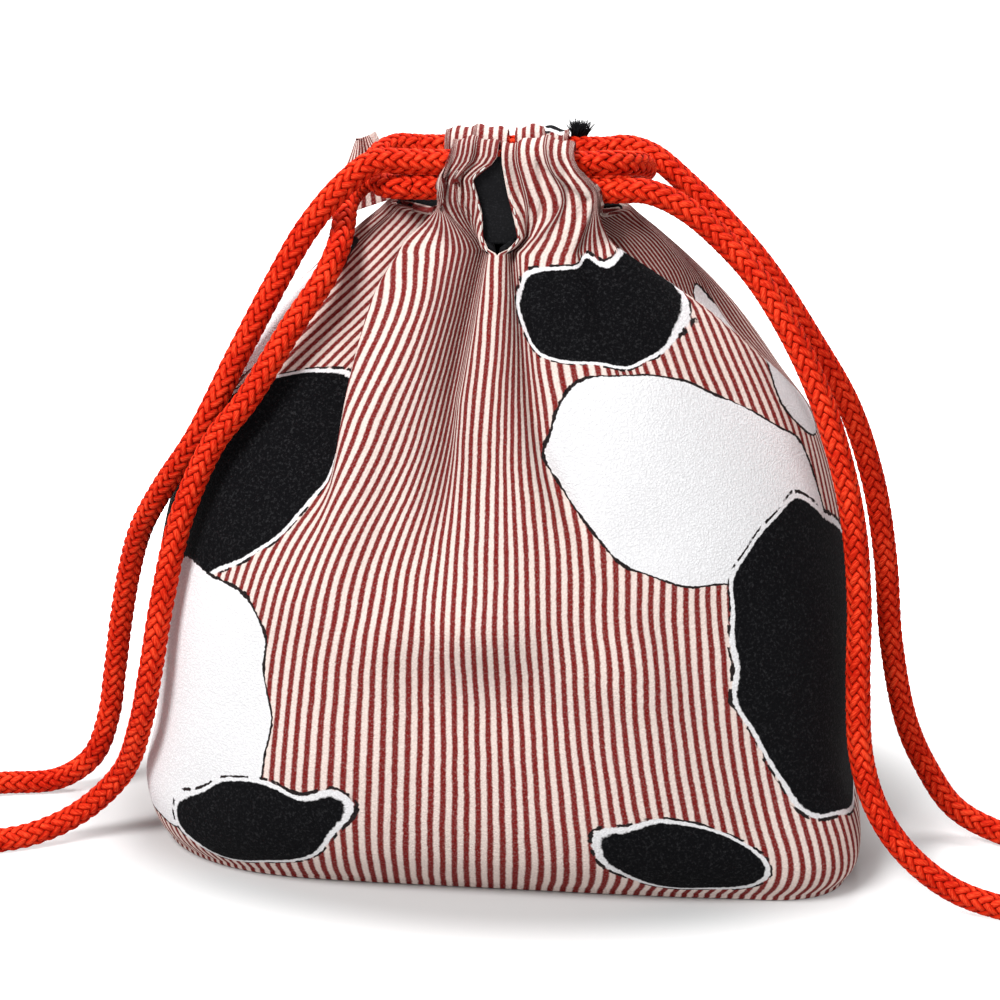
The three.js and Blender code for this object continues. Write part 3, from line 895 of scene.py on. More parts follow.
@dataclass
class Knot:
    """A pulled-tight knot of two strands, with two short tails."""

    face: Point
    side: int
    length: float = 14.0
    radius: float = 6.4
    lane: float = 2.8
    turns: float = 1.5
    wraps: int = 14
    tail: float = 14.0
    cord: float = 5.0
    clearance: float = 0.4

    def route(self, lane: int) -> list[Point]:
        """Return the points of one strand through the knot.

        Args:
            lane: -1 for the strand that enters on the lower side along Y, 1 for the other.

        Returns:
            Points from the knot's face to the tip of the tail.
        """
        x0, y0, z0 = self.face
        route = [(x0 + self.side * share * self.length, y0 + lane * self.lane, z0) for share in (0.0, 0.05)]
        for k in range(self.wraps + 1):
            share = k / self.wraps
            angle = (math.pi if lane < 0 else 0.0) + share * self.turns * 2.0 * math.pi
            reach = self.lane + (self.radius - self.cord / 2.0 - self.lane) * float(bump(2.2 * (share - 0.5)))
            along = 0.13 + 0.76 * share
            route.append((x0 + self.side * along * self.length, y0 + reach * math.cos(angle),
                          z0 + reach * math.sin(angle)))
        drop = self.cord / 2.0 + self.clearance - z0
        for out, spread, lowered in ((2.5, 0.2, 0.3), (0.55 * self.tail, 1.4, 0.8), (self.tail, 3.0, 1.0)):
            route.append((x0 + self.side * (self.length + out), y0 - lane * (self.lane + spread),
                          z0 + lowered * drop))
        return route


@dataclass
class Cords:
    """Both cords of the pouch: free strands, knots, lengths in the casings and turns beside the mouth."""

    low: float = 141.3
    high: float = 146.6
    front_reach: float = 18.0
    back_reach: float = 20.0
    casing_depth: float = 11.4
    gap: float = 0.3
    lane: float = 2.8
    knot_height: float = 6.6
    bend_start: float = 5.6
    bend_end: float = 0.3
    stretch: float = 46.0
    braid: Braid = field(default_factory=Braid)
    finish: CordFinish = field(default_factory=CordFinish)

    SIDES = {-1: "left", 1: "right"}
    KNOTS = {-1: (-158.0, -32.5), 1: (164.0, -39.0)}
    ROUTES = {
        Lead.LEFT_FRONT: (
            (-26, -12.6, 146.4), (-32.5, -13.8, 141.6), (-40, -15.2, 132.6), (-46.2, -16, 122.2),
            (-54.6, -19, 106.5), (-63, -22.5, 90), (-71.5, -19, 78), (-79, -13, 66), (-83.5, -9, 54),
            (-86.5, -7, 42), (-89, -6, 29), (-91, -6.5, 18), (-95, -7.5, 8.5), (-103, -9, 3.2),
            (-116, -12, 2.8), (-130, -17.5, 2.8), (-144, -24, 3),
        ),
        Lead.LEFT_BACK: (
            (-25, 10.6, 141.4), (-29.8, 7.5, 140.4), (-32.8, 2.5, 138.4), (-33.6, -3.5, 136.2),
            (-33.2, -9.5, 132.8), (-33.6, -14.6, 128.8), (-36, -19, 123), (-41.5, -23, 114.8),
            (-50.5, -28.5, 100), (-57.5, -30.5, 91), (-64.5, -33, 75), (-68.5, -36, 58),
            (-71.5, -37.5, 42), (-74.6, -36, 30), (-80.5, -32, 16.5), (-90.8, -32.5, 6.5),
            (-101, -37, 2.9), (-115, -42.5, 2.8), (-130, -44.5, 2.8), (-145, -41.5, 3),
        ),
        Lead.RIGHT_FRONT: (
            (23.5, -12.1, 141.3), (30, -12.8, 141.3), (37.6, -13, 138), (46.3, -14, 131),
            (53.4, -17, 123.5), (62.5, -21, 109), (69, -24, 93.5), (73.4, -26, 77), (75.4, -28, 60),
            (75.8, -31, 44), (77, -34.5, 29), (80.4, -37.5, 19), (86, -41, 11.5), (95.3, -44.5, 5.2),
            (106, -47.5, 2.8), (121, -50, 2.8), (138, -49, 2.8), (150, -45, 3),
        ),
        Lead.RIGHT_BACK: (
            (24.5, 11.7, 147), (30, 11, 145.4), (37.2, 9, 140), (46.3, 6, 131.8), (54.8, 3.5, 122.5),
            (65, 0, 108), (73, -2, 95), (79, -2.5, 78.5), (82.5, -2.5, 61), (84.8, -2.8, 42), (89, -4, 24),
            (93.6, -6, 14.5), (100, -9.5, 6.5), (109.5, -13.5, 2.9), (123, -20, 2.8), (138, -27.5, 2.8),
            (150, -33, 3),
        ),
    }
    TURNS = {
        -1: (
            (-21.5, -10.9, -0.1), (-24.9, -7.9, -0.2), (-27.4, -3.4, 1), (-28.3, 1.5, 2.9),
            (-27.4, 6.4, 4.6), (-24.6, 10, 5.6),
        ),
        1: (
            (21.5, -11.1, 5.5), (25, -8.6, 5.1), (27.6, -3.8, 4.3), (28.6, 1.6, 2.8), (27.6, 6.8, 0.9),
            (24.6, 10.3, 0),
        ),
    }

    def reach(self, half: Half) -> float:
        """Return how far from the middle the cord leaves the casing of a half."""
        return (self.front_reach if half is Half.FRONT else self.back_reach) + self.gap / 2.0

    def place(self, name: str, body: str, paths: Sequence[Array], lead: float = 0.5) -> bpy.types.Object:
        """Braid along paths and stand in for the CAD node of the same name.

        Args:
            name: Name of the CAD node.
            body: Name of the body that carries it, or nothing.
            paths: Points of each path.
            lead: 0.5, or -0.5 for a length that leaves to the left.

        Returns:
            The piece.
        """
        obj = self.braid.build(f"{name}_braid", paths, body, lead)
        self.finish.dress(obj, "red_cord")
        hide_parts(name)
        return obj

    def knot(self, side: int) -> bpy.types.Object:
        """Make the knot of one side.

        Args:
            side: -1 for the left, 1 for the right.

        Returns:
            The piece.
        """
        knot = Knot((*self.KNOTS[side], self.knot_height), side)
        paths = [spline(knot.route(lane), self.braid.step) for lane in (-1, 1)]
        return self.place(f"{self.SIDES[side]}_knot", f"{self.SIDES[side]}_cord", paths)

    def strand(self, lead: Lead, knots: dict[int, bpy.types.Object]) -> bpy.types.Object:
        """Make a free strand, from its tab to its knot.

        Args:
            lead: Which strand.
            knots: The knot of each side; not used.

        Returns:
            The piece.
        """
        name, side, half, leaves_high = lead.value
        knot = self.KNOTS[side]
        level = self.high if leaves_high else self.low
        start = (side * self.reach(half), half.value * self.casing_depth, level)
        end = (knot[0] - side * self.gap, knot[1] + side * half.value * self.lane, self.knot_height)
        path = spline([start, *self.ROUTES[lead], end], self.braid.step)
        strand = self.place(name, "", [path], 0.5 * side)
        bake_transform(strand)
        return strand

    def turn(self, name: str, side: int, front: float, back: float) -> bpy.types.Object:
        """Make the length of a cord that doubles back beside the mouth.

        Args:
            name: Name of the CAD node that it replaces.
            side: -1 for the left of the mouth, 1 for the right.
            front: Height of the cord in the front casing.
            back: Height of the cord in the back casing.

        Returns:
            The piece.
        """
        start = (side * self.reach(Half.FRONT), -self.casing_depth, front)
        end = (side * self.reach(Half.BACK), self.casing_depth, back)
        route = [start, *[(x, y, self.low + rise) for x, y, rise in self.TURNS[side]], end]
        return self.place(name, "pouch", [spline(route, self.braid.step)], 0.5 * side)

    def straight(self, name: str, half: Half, z: float) -> list[bpy.types.Object]:
        """Make a length of cord through both tabs of a casing, in two halves.

        Args:
            name: Name of the CAD node that they replace.
            half: Whose casing it is.
            z: Its height.

        Returns:
            The two halves.
        """
        reach = self.reach(half)
        y = half.value * self.casing_depth
        path = spline([(-reach, y, z), (0.0, y, z), (reach, y, z)], self.braid.step)
        crossings = round(self.braid.yarns_each_way * 2.0 * reach / self.braid.turn_length)
        lay = 2.0 * reach * self.braid.yarns_each_way / crossings
        made = []
        for side, part in ((-1, (0.0, 0.5)), (1, (0.5, 1.0))):
            piece = self.braid.build(f"{name}_{self.SIDES[side]}_half", [path], lay=lay, part=part)
            self.finish.dress(piece, "red_cord")
            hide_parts(name)
            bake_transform(piece)
            made.append(piece)
        return made

    def build(self) -> list[bpy.types.Object]:
        """Make every length of both cords.

        Returns:
            The pieces.
        """
        knots = {side: self.knot(side) for side in self.SIDES}
        made = [*knots.values(), *[self.strand(lead, knots) for lead in Lead]]
        made.append(self.turn("left_cord_turn", 1, self.high, self.low))
        made.append(self.turn("right_cord_turn", -1, self.low, self.high))
        made += self.straight("left_cord_front_run", Half.FRONT, self.high)
        made += self.straight("right_cord_front_run", Half.FRONT, self.low)
        made += self.straight("left_cord_back_run", Half.BACK, self.low)
        made += self.straight("right_cord_back_run", Half.BACK, self.high)
        return made


# Cloth


class Corner(Enum):
    """The four quarters of the cloth, by the side of the slit and by front or back."""

    FRONT_LEFT = (-1, -1)
    FRONT_RIGHT = (1, -1)
    BACK_RIGHT = (1, 1)
    BACK_LEFT = (-1, 1)

    @property
    def across(self) -> int:
        """Return -1 for the left and 1 for the right."""
        return self.value[0]

    @property
    def depth(self) -> int:
        """Return -1 for the front and 1 for the back."""
        return self.value[1]

    def angle(self, share: Array) -> Array:
        """Return the angle in degrees at a share of the way round from the slit to the side seam."""
        return self.across * (90.0 * share if self.depth < 0 else 180.0 - 90.0 * share)


def turned_from(angle: Array, middle: Array | float) -> Array:
    """Return how far an angle lies from a middle one, from -180 to 180 degrees."""
    return (angle - middle + 180.0) % 360.0 - 180.0


@dataclass(frozen=True)
class Fold:
    """A fold that sinks into the cloth. Its track gives the angle of its middle, in degrees, at each height.

    Its share is its part of the spare cloth. A fold with no depth only packs the weave closer.
    """

    track: tuple[tuple[float, float], ...]
    width: float
    depth: float
    fades_at: float
    full_at: float
    share: float = 0.0
    lean: float = 0.0

    def middle(self, height: Array | float) -> Array:
        """Return the angle of the fold's middle at a height, in degrees."""
        return np.interp(height, *zip(*self.track))

    def strength(self, height: Array | float) -> Array:
        """Return how far the fold has formed at a height, from 0 to 1."""
        return smooth((np.asarray(height) - self.fades_at) / (self.full_at - self.fades_at))

    def offset(self, angle: Array, height: Array | float) -> Array:
        """Return the distance from the fold's middle in fold widths, less on the side that it leans to."""
        away = turned_from(angle, self.middle(height))
        return away * np.where(away * self.lean > 0.0, 1.0 + 1.4 * abs(self.lean), 1.0) / self.width

    def sink(self, angle: Array, height: Array | float) -> Array:
        """Return how deep the cloth lies under the fold's rim, in millimetres."""
        return self.depth * self.strength(height) * np.exp(-self.offset(angle, height) ** 2)


@dataclass(frozen=True)
class Swell:
    """A soft bulge (positive) or dent (negative) of the cloth, by angle in degrees and height."""

    angle: float
    height: float
    across: float
    upright: float
    rise: float

    def lift(self, angle: Array, height: Array | float) -> Array:
        """Return how far the cloth stands out here, in millimetres."""
        away = turned_from(angle, self.angle)
        return self.rise * np.exp(-(away / self.across) ** 2 - ((height - self.height) / self.upright) ** 2)


# Share of the neck height, shares of the belly's width and depth, and how square the outline is
PROFILE = np.array([
    (0.0, 0.925, 0.82, 4.8), (0.035, 0.965, 0.905, 4.3), (0.08, 0.99, 0.968, 3.7), (0.15, 1.0, 1.0, 3.1),
    (0.27, 0.985, 0.985, 2.8), (0.4, 0.963, 0.94, 2.7), (0.5, 0.938, 0.88, 2.6), (0.6, 0.894, 0.81, 2.5),
    (0.7, 0.825, 0.73, 2.4), (0.79, 0.738, 0.645, 2.3), (0.87, 0.638, 0.555, 2.2), (0.94, 0.53, 0.453, 2.2),
    (1.0, 0.425, 0.343, 2.2), (1.03, 0.363, 0.306, 2.2), (1.06, 0.313, 0.282, 2.2),
])

FOLDS = {
    Corner.FRONT_LEFT: (
        Fold(((78, -13), (88, -14), (102, -15), (114, -13), (122, -12), (130, -11)),
             6.5, 5.8, 66, 104, 0.24, 0.4),
        Fold(((60, -40), (85, -45), (100, -50), (112, -54), (122, -58), (131, -60)),
             11.5, 14.0, 62, 119, 0.4, 0.95),
        Fold(((100, -71), (120, -76), (131, -80)), 6.0, 3.0, 96, 120, 0.1, -0.4),
        Fold(((95, -90), (131, -90)), 8.0, 3.0, 104, 130, 0.18),
        Fold(((60, -12), (100, -15), (131, -18)), 15.0, 0.0, 143, 104, 1.0),
    ),
    Corner.FRONT_RIGHT: (
        Fold(((90, 17), (104, 15), (118, 12), (130, 8)), 4.5, 2.0, 92, 118, 0.06, -0.5),
        Fold(((108, 40), (118, 41), (130, 46), (138, 50)), 6.5, 1.9, 104, 124, 0.16, -0.3),
        Fold(((96, 94), (105, 88), (118, 80), (125, 73), (131, 66), (138, 64)),
             9.5, 9.5, 92, 120, 0.54, -0.8),
        Fold(((95, 90), (131, 90)), 8.0, 2.0, 98, 128, 0.24),
        Fold(((24, 50), (45, 45), (62, 38), (84, 30)), 6.0, 1.1, 96, 62, 0.0, 0.4),
        Fold(((64, 33), (72, 29), (92, 17), (104, 13), (126, 10)), 4.2, 2.3, 60, 84, 0.0, 0.5),
        Fold(((60, 6), (131, 9)), 11.0, 0.0, 143, 104, 0.3),
    ),
    Corner.BACK_RIGHT: (
        Fold(((92, 124), (112, 119), (131, 112)), 9.5, 10.0, 84, 116, 0.42, 0.7),
        Fold(((80, 152), (110, 148), (131, 150)), 7.5, 6.5, 82, 114, 0.35, -0.5),
        Fold(((95, 90), (131, 90)), 8.0, 2.0, 98, 128, 0.23),
    ),
    Corner.BACK_LEFT: (
        Fold(((84, -128), (108, -120), (131, -116)), 9.0, 10.5, 82, 116, 0.47, -0.8),
        Fold(((78, -160), (108, -154), (131, -152)), 7.0, 5.5, 80, 112, 0.3, 0.6),
        Fold(((95, -90), (131, -90)), 8.0, 3.0, 104, 130, 0.23),
    ),
}

SWELLS = tuple(Swell(*row) for row in (
    (-3, 68, 13, 17, 1.9), (22, 86, 9, 14, -1.8), (-33, 98, 6, 26, 1.8), (43, 106, 13, 16, 1.7),
    (47, 60, 10, 12, -1.1), (-26, 82, 5, 26, -1.0), (10, 96, 6, 18, 1.2), (15, 30, 20, 10, -0.9),
    (-28, 30, 14, 11, 0.9), (-14, 50, 6, 24, -0.8), (33, 44, 6, 20, 0.8), (-44, 40, 7, 18, -0.9),
    (60, 1, 12, 21, 5.6), (-60, 0, 9, 12, -2.0), (-70, 17, 5, 8, 1.4), (-78, 30, 6, 9, -1.2),
    (-52, 15, 6, 9, -1.0), (70, 24, 6, 10, -1.2), (180, 60, 26, 22, 1.5), (150, 95, 12, 14, 1.4),
    (-140, 90, 12, 16, 1.6), (128, 50, 18, 18, -1.2), (-125, 48, 16, 16, 1.2), (-160, 20, 8, 14, -1.0),
    (165, 28, 7, 16, 1.0), (-90, 22, 24, 20, -4.2), (90, 18, 20, 22, -2.4), (1, 61, 17, 8.5, 4.2),
    (-22, 57, 8, 8, 1.2), (26, 50, 10, 8, 1.6), (-2, 86, 15, 12, -2.8), (3, 43, 20, 9, -2.0),
    (-40, 62, 8, 7, 1.3), (38, 76, 8, 8, -1.1), (120, 4, 12, 18, 2.6), (-120, 4, 12, 18, 2.6),
))


@dataclass
class ShellForm:
    """Shape of the outside of the cloth, from the base seam to the top of the neck."""

    belly_width: float = 160.0
    belly_depth: float = 108.0
    neck_height: float = 131.0
    side_rise: float = 7.0
    quarter_cloth: float = 113.6
    gathers_from: float = 62.0
    gathers_over: float = 34.0
    boxed_to: float = 4.0
    boxed_over: float = 20.0
    box_corner: float = 56.0
    box_spread: float = 7.0
    samples: int = 700

    def profile(self, height: Array, column: int) -> Array:
        """Read one column of the side profile by a smooth curve.

        Args:
            height: Heights in millimetres.
            column: Number of the column.

        Returns:
            The value at each height.
        """
        at, value = PROFILE[:, 0], PROFILE[:, column]
        slope = np.empty_like(value)
        slope[1:-1] = (value[2:] - value[:-2]) / (at[2:] - at[:-2])
        slope[0] = (value[1] - value[0]) / (at[1] - at[0])
        slope[-1] = (value[-1] - value[-2]) / (at[-1] - at[-2])
        h = np.asarray(height, dtype=float) / self.neck_height
        i = np.clip(np.searchsorted(at, h, side="right") - 1, 0, len(at) - 2)
        span = at[i + 1] - at[i]
        t = np.clip((h - at[i]) / span, 0.0, 1.0)
        return hermite(t, span, value[i], slope[i], value[i + 1], slope[i + 1])

    def smooth_radius(self, angle: Array, height: Array) -> Array:
        """Return the radius before any fold.

        Args:
            angle: Angle from the front, in degrees.
            height: Height.

        Returns:
            The radius of the rounded square at that height.
        """
        turn = np.radians(angle)
        half_width = self.belly_width / 2.0 * self.profile(height, 1)
        half_depth = self.belly_depth / 2.0 * self.profile(height, 2)
        square = self.profile(height, 3)
        return ((np.abs(np.sin(turn)) / half_width) ** square
                + (np.abs(np.cos(turn)) / half_depth) ** square) ** (-1.0 / square)

    def radius(self, angle: Array, height: Array) -> Array:
        """Return the radius with every fold and swell.

        Args:
            angle: Angle from the front, in degrees.
            height: Height.

        Returns:
            The radius.
        """
        made = self.smooth_radius(angle, height)
        for swell in SWELLS:
            made = made + swell.lift(angle, height)
        for fold in (fold for corner in Corner for fold in FOLDS[corner]):
            on_seam = fold.middle(110.0) in (90.0, -90.0)
            made = made - (0.5 if on_seam else 1.0) * fold.sink(angle, height)
        return made

    def height(self, share: float, angle: Array) -> Array:
        """Return the height of a row of cloth, which rises toward the side seams near the neck."""
        rise = self.side_rise * smooth((np.abs(np.sin(np.radians(angle))) - 0.75) / 0.25)
        return share * self.neck_height + rise * smooth((share - 0.7) / 0.3)

    def spare_spread(self, corner: Corner, z: float, run: Array, middle: Array) -> Array:
        """Spread the spare cloth of a row: evenly, at the corners of the base, or in the folds of the neck.

        Args:
            corner: Which quarter.
            z: Height of the row.
            run: Length of each step of the row.
            middle: Angle of each step's middle, in degrees.

        Returns:
            The share of the spare cloth that each step takes up.
        """
        gathered = float(smooth((z - self.gathers_from) / self.gathers_over))
        boxed = float(1.0 - smooth((z - self.boxed_to) / self.boxed_over))
        folded = np.zeros_like(run)
        for fold in FOLDS[corner]:
            if fold.share > 0.0:
                dense = np.exp(-(fold.offset(middle, z) / 0.75) ** 2)
                held = float(fold.strength(z)) if fold.depth == 0.0 else 1.0
                folded += fold.share * held * dense / dense.sum()
        folded /= folded.sum()
        from_slit = np.abs(middle) if corner.depth < 0 else 180.0 - np.abs(middle)
        corners = np.exp(-((from_slit - self.box_corner) / self.box_spread) ** 2)
        corners /= corners.sum()
        return gathered * folded + (1.0 - gathered) * (boxed * corners + (1.0 - boxed) * run / run.sum())

    def row(self, corner: Corner, share: float, cloth: Array) -> Array:
        """Lay a row of cloth round one quarter so that each point keeps its place in the weave.

        Args:
            corner: Which quarter.
            share: Height of the row as a share of the neck height.
            cloth: Places along the row from the slit to the side seam, in millimetres of cloth.

        Returns:
            Points of the row, one for each place.
        """
        angle = corner.angle(np.linspace(0.0, 1.0, self.samples))
        height = self.height(share, angle)
        radius = self.radius(angle, height)
        turn = np.radians(angle)
        points = np.stack([radius * np.sin(turn), -radius * np.cos(turn), height], axis=1)
        run = np.linalg.norm(np.diff(points, axis=0), axis=1)
        spare = self.quarter_cloth - run.sum()
        if spare > 0.0:
            middle = 0.5 * (angle[1:] + angle[:-1])
            laid = run + spare * self.spare_spread(corner, share * self.neck_height, run, middle)
        else:
            laid = run * self.quarter_cloth / run.sum()
        place = np.concatenate([[0.0], np.cumsum(laid)])
        place *= self.quarter_cloth / place[-1]
        return np.column_stack([np.interp(cloth, place, axis) for axis in points.T])


@dataclass(frozen=True)
class TabForm:
    """Shape of one casing tab, in millimetres from the middle of the pouch and from the floor."""

    cloth_at: tuple[tuple[float, float], ...]
    low_reach: float
    high_reach: float
    slit_edge: tuple[tuple[float, float], ...]
    turned_in: float
    overlap: float
    phase: float
    crown: float
    crown_at: float

    def spread(self, cloth: Array) -> Array:
        """Return the place of each bit of cloth across the tab, from 0 at the slit to 1 at the outer end."""
        return np.interp(cloth, *zip(*self.cloth_at))

    def reach(self, height: Array | float) -> Array:
        """Return how far out the tab ends at a height."""
        share = smooth((np.asarray(height) - 140.5) / 8.5)
        return self.low_reach + (self.high_reach - self.low_reach) * share

    def edge(self, height: Array | float) -> Array:
        """Return how far out the slit's edge lies at a height."""
        return np.interp(height, *zip(*self.slit_edge))


TABS = {
    Corner.FRONT_LEFT: TabForm(
        ((0, 0.0), (9, 0.46), (14, 0.54), (22.5, 0.9), (38, 0.96), (113.6, 1.0)), 12.9, 9.8,
        ((129.3, 0.0), (130.2, 1.9), (132.5, 3.1), (136.5, 3.3), (140.0, 4.2), (143.7, 5.4), (145.4, 3.6),
         (147.2, 0.9), (148.5, 0.35), (151, 0.3)), 7.5, 0.0, 0.4, 1.2, 5.6),
    Corner.FRONT_RIGHT: TabForm(
        ((0, 0.0), (4, 0.16), (9, 0.23), (16, 0.58), (21, 0.64), (28, 0.93), (44, 0.965), (113.6, 1.0)),
        20.6, 15.0,
        ((129.3, 0.0), (130.3, 2.2), (132.2, 4.0), (136.0, 3.1), (140.0, 1.9), (143.0, 1.2), (147.0, 0.5),
         (151, 0.3)), 4.0, 1.9, 1.9, 1.5, 8.5),
    Corner.BACK_RIGHT: TabForm(
        ((0, 0.0), (8, 0.5), (30, 0.6), (36, 0.93), (60, 0.97), (113.6, 1.0)), 15.6, 12.0,
        ((131, 0.0), (134, 1.2), (147, 1.0), (151, 0.8)), 3.0, 0.0, 3.1, 0.9, 5.0),
    Corner.BACK_LEFT: TabForm(
        ((0, 0.0), (8, 0.48), (29, 0.58), (36, 0.93), (60, 0.97), (113.6, 1.0)), 16.4, 14.2,
        ((131, 0.0), (134, 1.2), (147, 1.0), (151, 0.8)), 3.0, 0.0, 5.3, 0.7, 6.5),
}


@dataclass
class MouthForm:
    """Shape of the cloth above the neck, which rises to the tabs, folds over the cords and ends inside."""

    casing_depth: float = 11.4
    half_thickness: float = 4.0
    base_height: float = 140.2
    top_height: float = 150.6
    inner_foot: float = 137.6
    cord_floor: float = 137.9
    outer_from: float = 30.0
    outer_over: float = 50.0
    outer_drop: float = 2.7
    outer_tuck: float = 1.3
    slit_cloth: float = 34.0
    rise_rows: int = 22
    face_rows: int = 7
    turn_rows: int = 10
    inside_from: int = 14
    inside_height: float = 149.5

    def face(self, tab: TabForm, share: Array, x: Array, z: Array | float) -> Array:
        """Return how far the front face of a tab stands out from its plain line.

        Args:
            tab: The tab.
            share: Place across the tab from the slit to the outer end.
            x: Distance from the middle of the pouch.
            z: Height.

        Returns:
            Distances in millimetres.
        """
        wave = 0.45 * np.sin(x * 1.15 + tab.phase) + 0.26 * np.sin(x * 2.3 + 2.3 * tab.phase + 0.09 * z)
        wave = wave + 0.5 * smooth((share - 0.3) / 0.5) * smooth((146.0 - z) / 10.0)
        above = z - (147.6 - 0.66 * (x - 7.0))
        lap = smooth(above + 0.7) * smooth((x - 5.0) / 3.5) * (1.0 - 0.5 * smooth((above - 3.0) / 5.0))
        return wave + tab.overlap * lap

    def rise(self, corner: Corner, cloth: Array, below: Array, neck: Array) -> list[Array]:
        """Carry the cloth from the neck up to the foot of the tab, and under the cords beside it.

        Args:
            corner: Which quarter.
            cloth: Places along the row.
            below: A row under the neck row.
            neck: The neck row.

        Returns:
            Rows of points.
        """
        tab = TABS[corner]
        share = tab.spread(cloth)
        outer = smooth((cloth - self.outer_from) / self.outer_over)
        foot = self.base_height - self.outer_drop * outer
        x = share * tab.reach(foot)
        depth = self.casing_depth + self.half_thickness + self.face(tab, share, x, foot) * (1.0 - 0.5 * outer)
        tip = np.stack([corner.across * x, corner.depth * (depth - self.outer_tuck * outer), foot], axis=1)
        reach = np.linalg.norm(tip - neck, axis=1, keepdims=True)
        pull = (0.85 - 0.45 * outer)[:, None]
        leaving = unit(neck - below)
        arriving = np.stack([np.zeros_like(outer), -corner.depth * 0.3 * outer, 1.0 - 0.5 * outer], axis=1)
        made = []
        for t in (k / self.rise_rows for k in range(1, self.rise_rows + 1)):
            point = ((2 * t**3 - 3 * t**2 + 1) * neck + (t**3 - 2 * t**2 + t) * reach * pull * leaving
                     + (3 * t**2 - 2 * t**3) * tip + (t**3 - t**2) * reach * pull * arriving)
            low = point[:, 2] - self.cord_floor
            beside = smooth(np.abs(point[:, 0]) - x)
            point[:, 2] -= beside * np.where(low > -1.5, 0.5 * (low + 1.5) + 0.5 * np.maximum(low, 0.0), 0.0)
            made.append(point)
        return made

    def section(self) -> list[tuple[float, float, float]]:
        """Return the tab's section, from the foot of its face over the cords to the hem inside.

        Returns:
            For each row its place between the inner side (-1) and the face (1), its height, and how much of
            the face's relief it takes.
        """
        high = self.top_height - self.half_thickness
        path = [(1.0, z, 1.0) for z in np.linspace(self.base_height + 1.0, high - 1.0, self.face_rows)]
        for k in range(self.turn_rows + 1):
            turn = math.pi * k / self.turn_rows
            path.append((math.cos(turn), high + self.half_thickness * math.sin(turn),
                         1.0 if k < self.turn_rows / 2 else 0.0))
        inside = ((-1.0, high - 3.0), (-0.98, self.base_height + 0.4), (-0.8, self.base_height - 1.4),
                  (-0.3, self.inner_foot), (0.3, self.inner_foot - 1.6))
        return path + [(side, z, 0.0) for side, z in inside]

    def fold_over(self, corner: Corner, cloth: Array) -> list[Array]:
        """Carry the cloth up the face of the tab, over the cords and down inside.

        Args:
            corner: Which quarter.
            cloth: Places along the row.

        Returns:
            Rows of points.
        """
        tab = TABS[corner]
        share = tab.spread(cloth)
        outer = smooth((cloth - self.outer_from) / self.outer_over)
        high = self.top_height - self.half_thickness
        made = []
        for number, (side, z, shown) in enumerate(self.section()):
            on_face = number < self.face_rows
            rise = z - self.outer_drop * outer * (1.0 - number / self.face_rows) if on_face else z
            x = share * tab.reach(rise if number < self.inside_from else self.inside_height)
            relief = self.face(tab, share, x, rise) * (1.0 - 0.5 * outer * on_face)
            stand = self.half_thickness + shown * relief
            tuck = self.outer_tuck * outer * max(0.0, 1.0 - number / 4.0)
            dome = 0.3 * np.sin(x * 1.3 + tab.phase) + tab.crown * np.exp(-((x - tab.crown_at) / 4.6) ** 2)
            top = rise + dome * float(smooth((z - high + 3.0) / 6.0)) + np.zeros_like(x)
            y = corner.depth * (self.casing_depth + side * stand - tuck)
            made.append(np.stack([corner.across * x, y, top], axis=1))
        return made

    def rows(self, corner: Corner, cloth: Array, below: Array, neck: Array) -> Array:
        """Carry the cloth from the neck to the hem inside the tab, and part it at the slit.

        Args:
            corner: Which quarter.
            cloth: Places along the row.
            below: A row under the neck row.
            neck: The neck row that the tab grows from.

        Returns:
            Rows of points, from the first above the neck row to the hem.
        """
        made = np.array([*self.rise(corner, cloth, below, neck), *self.fold_over(corner, cloth)])
        beside = np.clip(1.0 - cloth / self.slit_cloth, 0.0, 1.0) ** 1.6
        made[:, :, 0] += corner.across * TABS[corner].edge(made[:, :, 2]) * beside
        return made


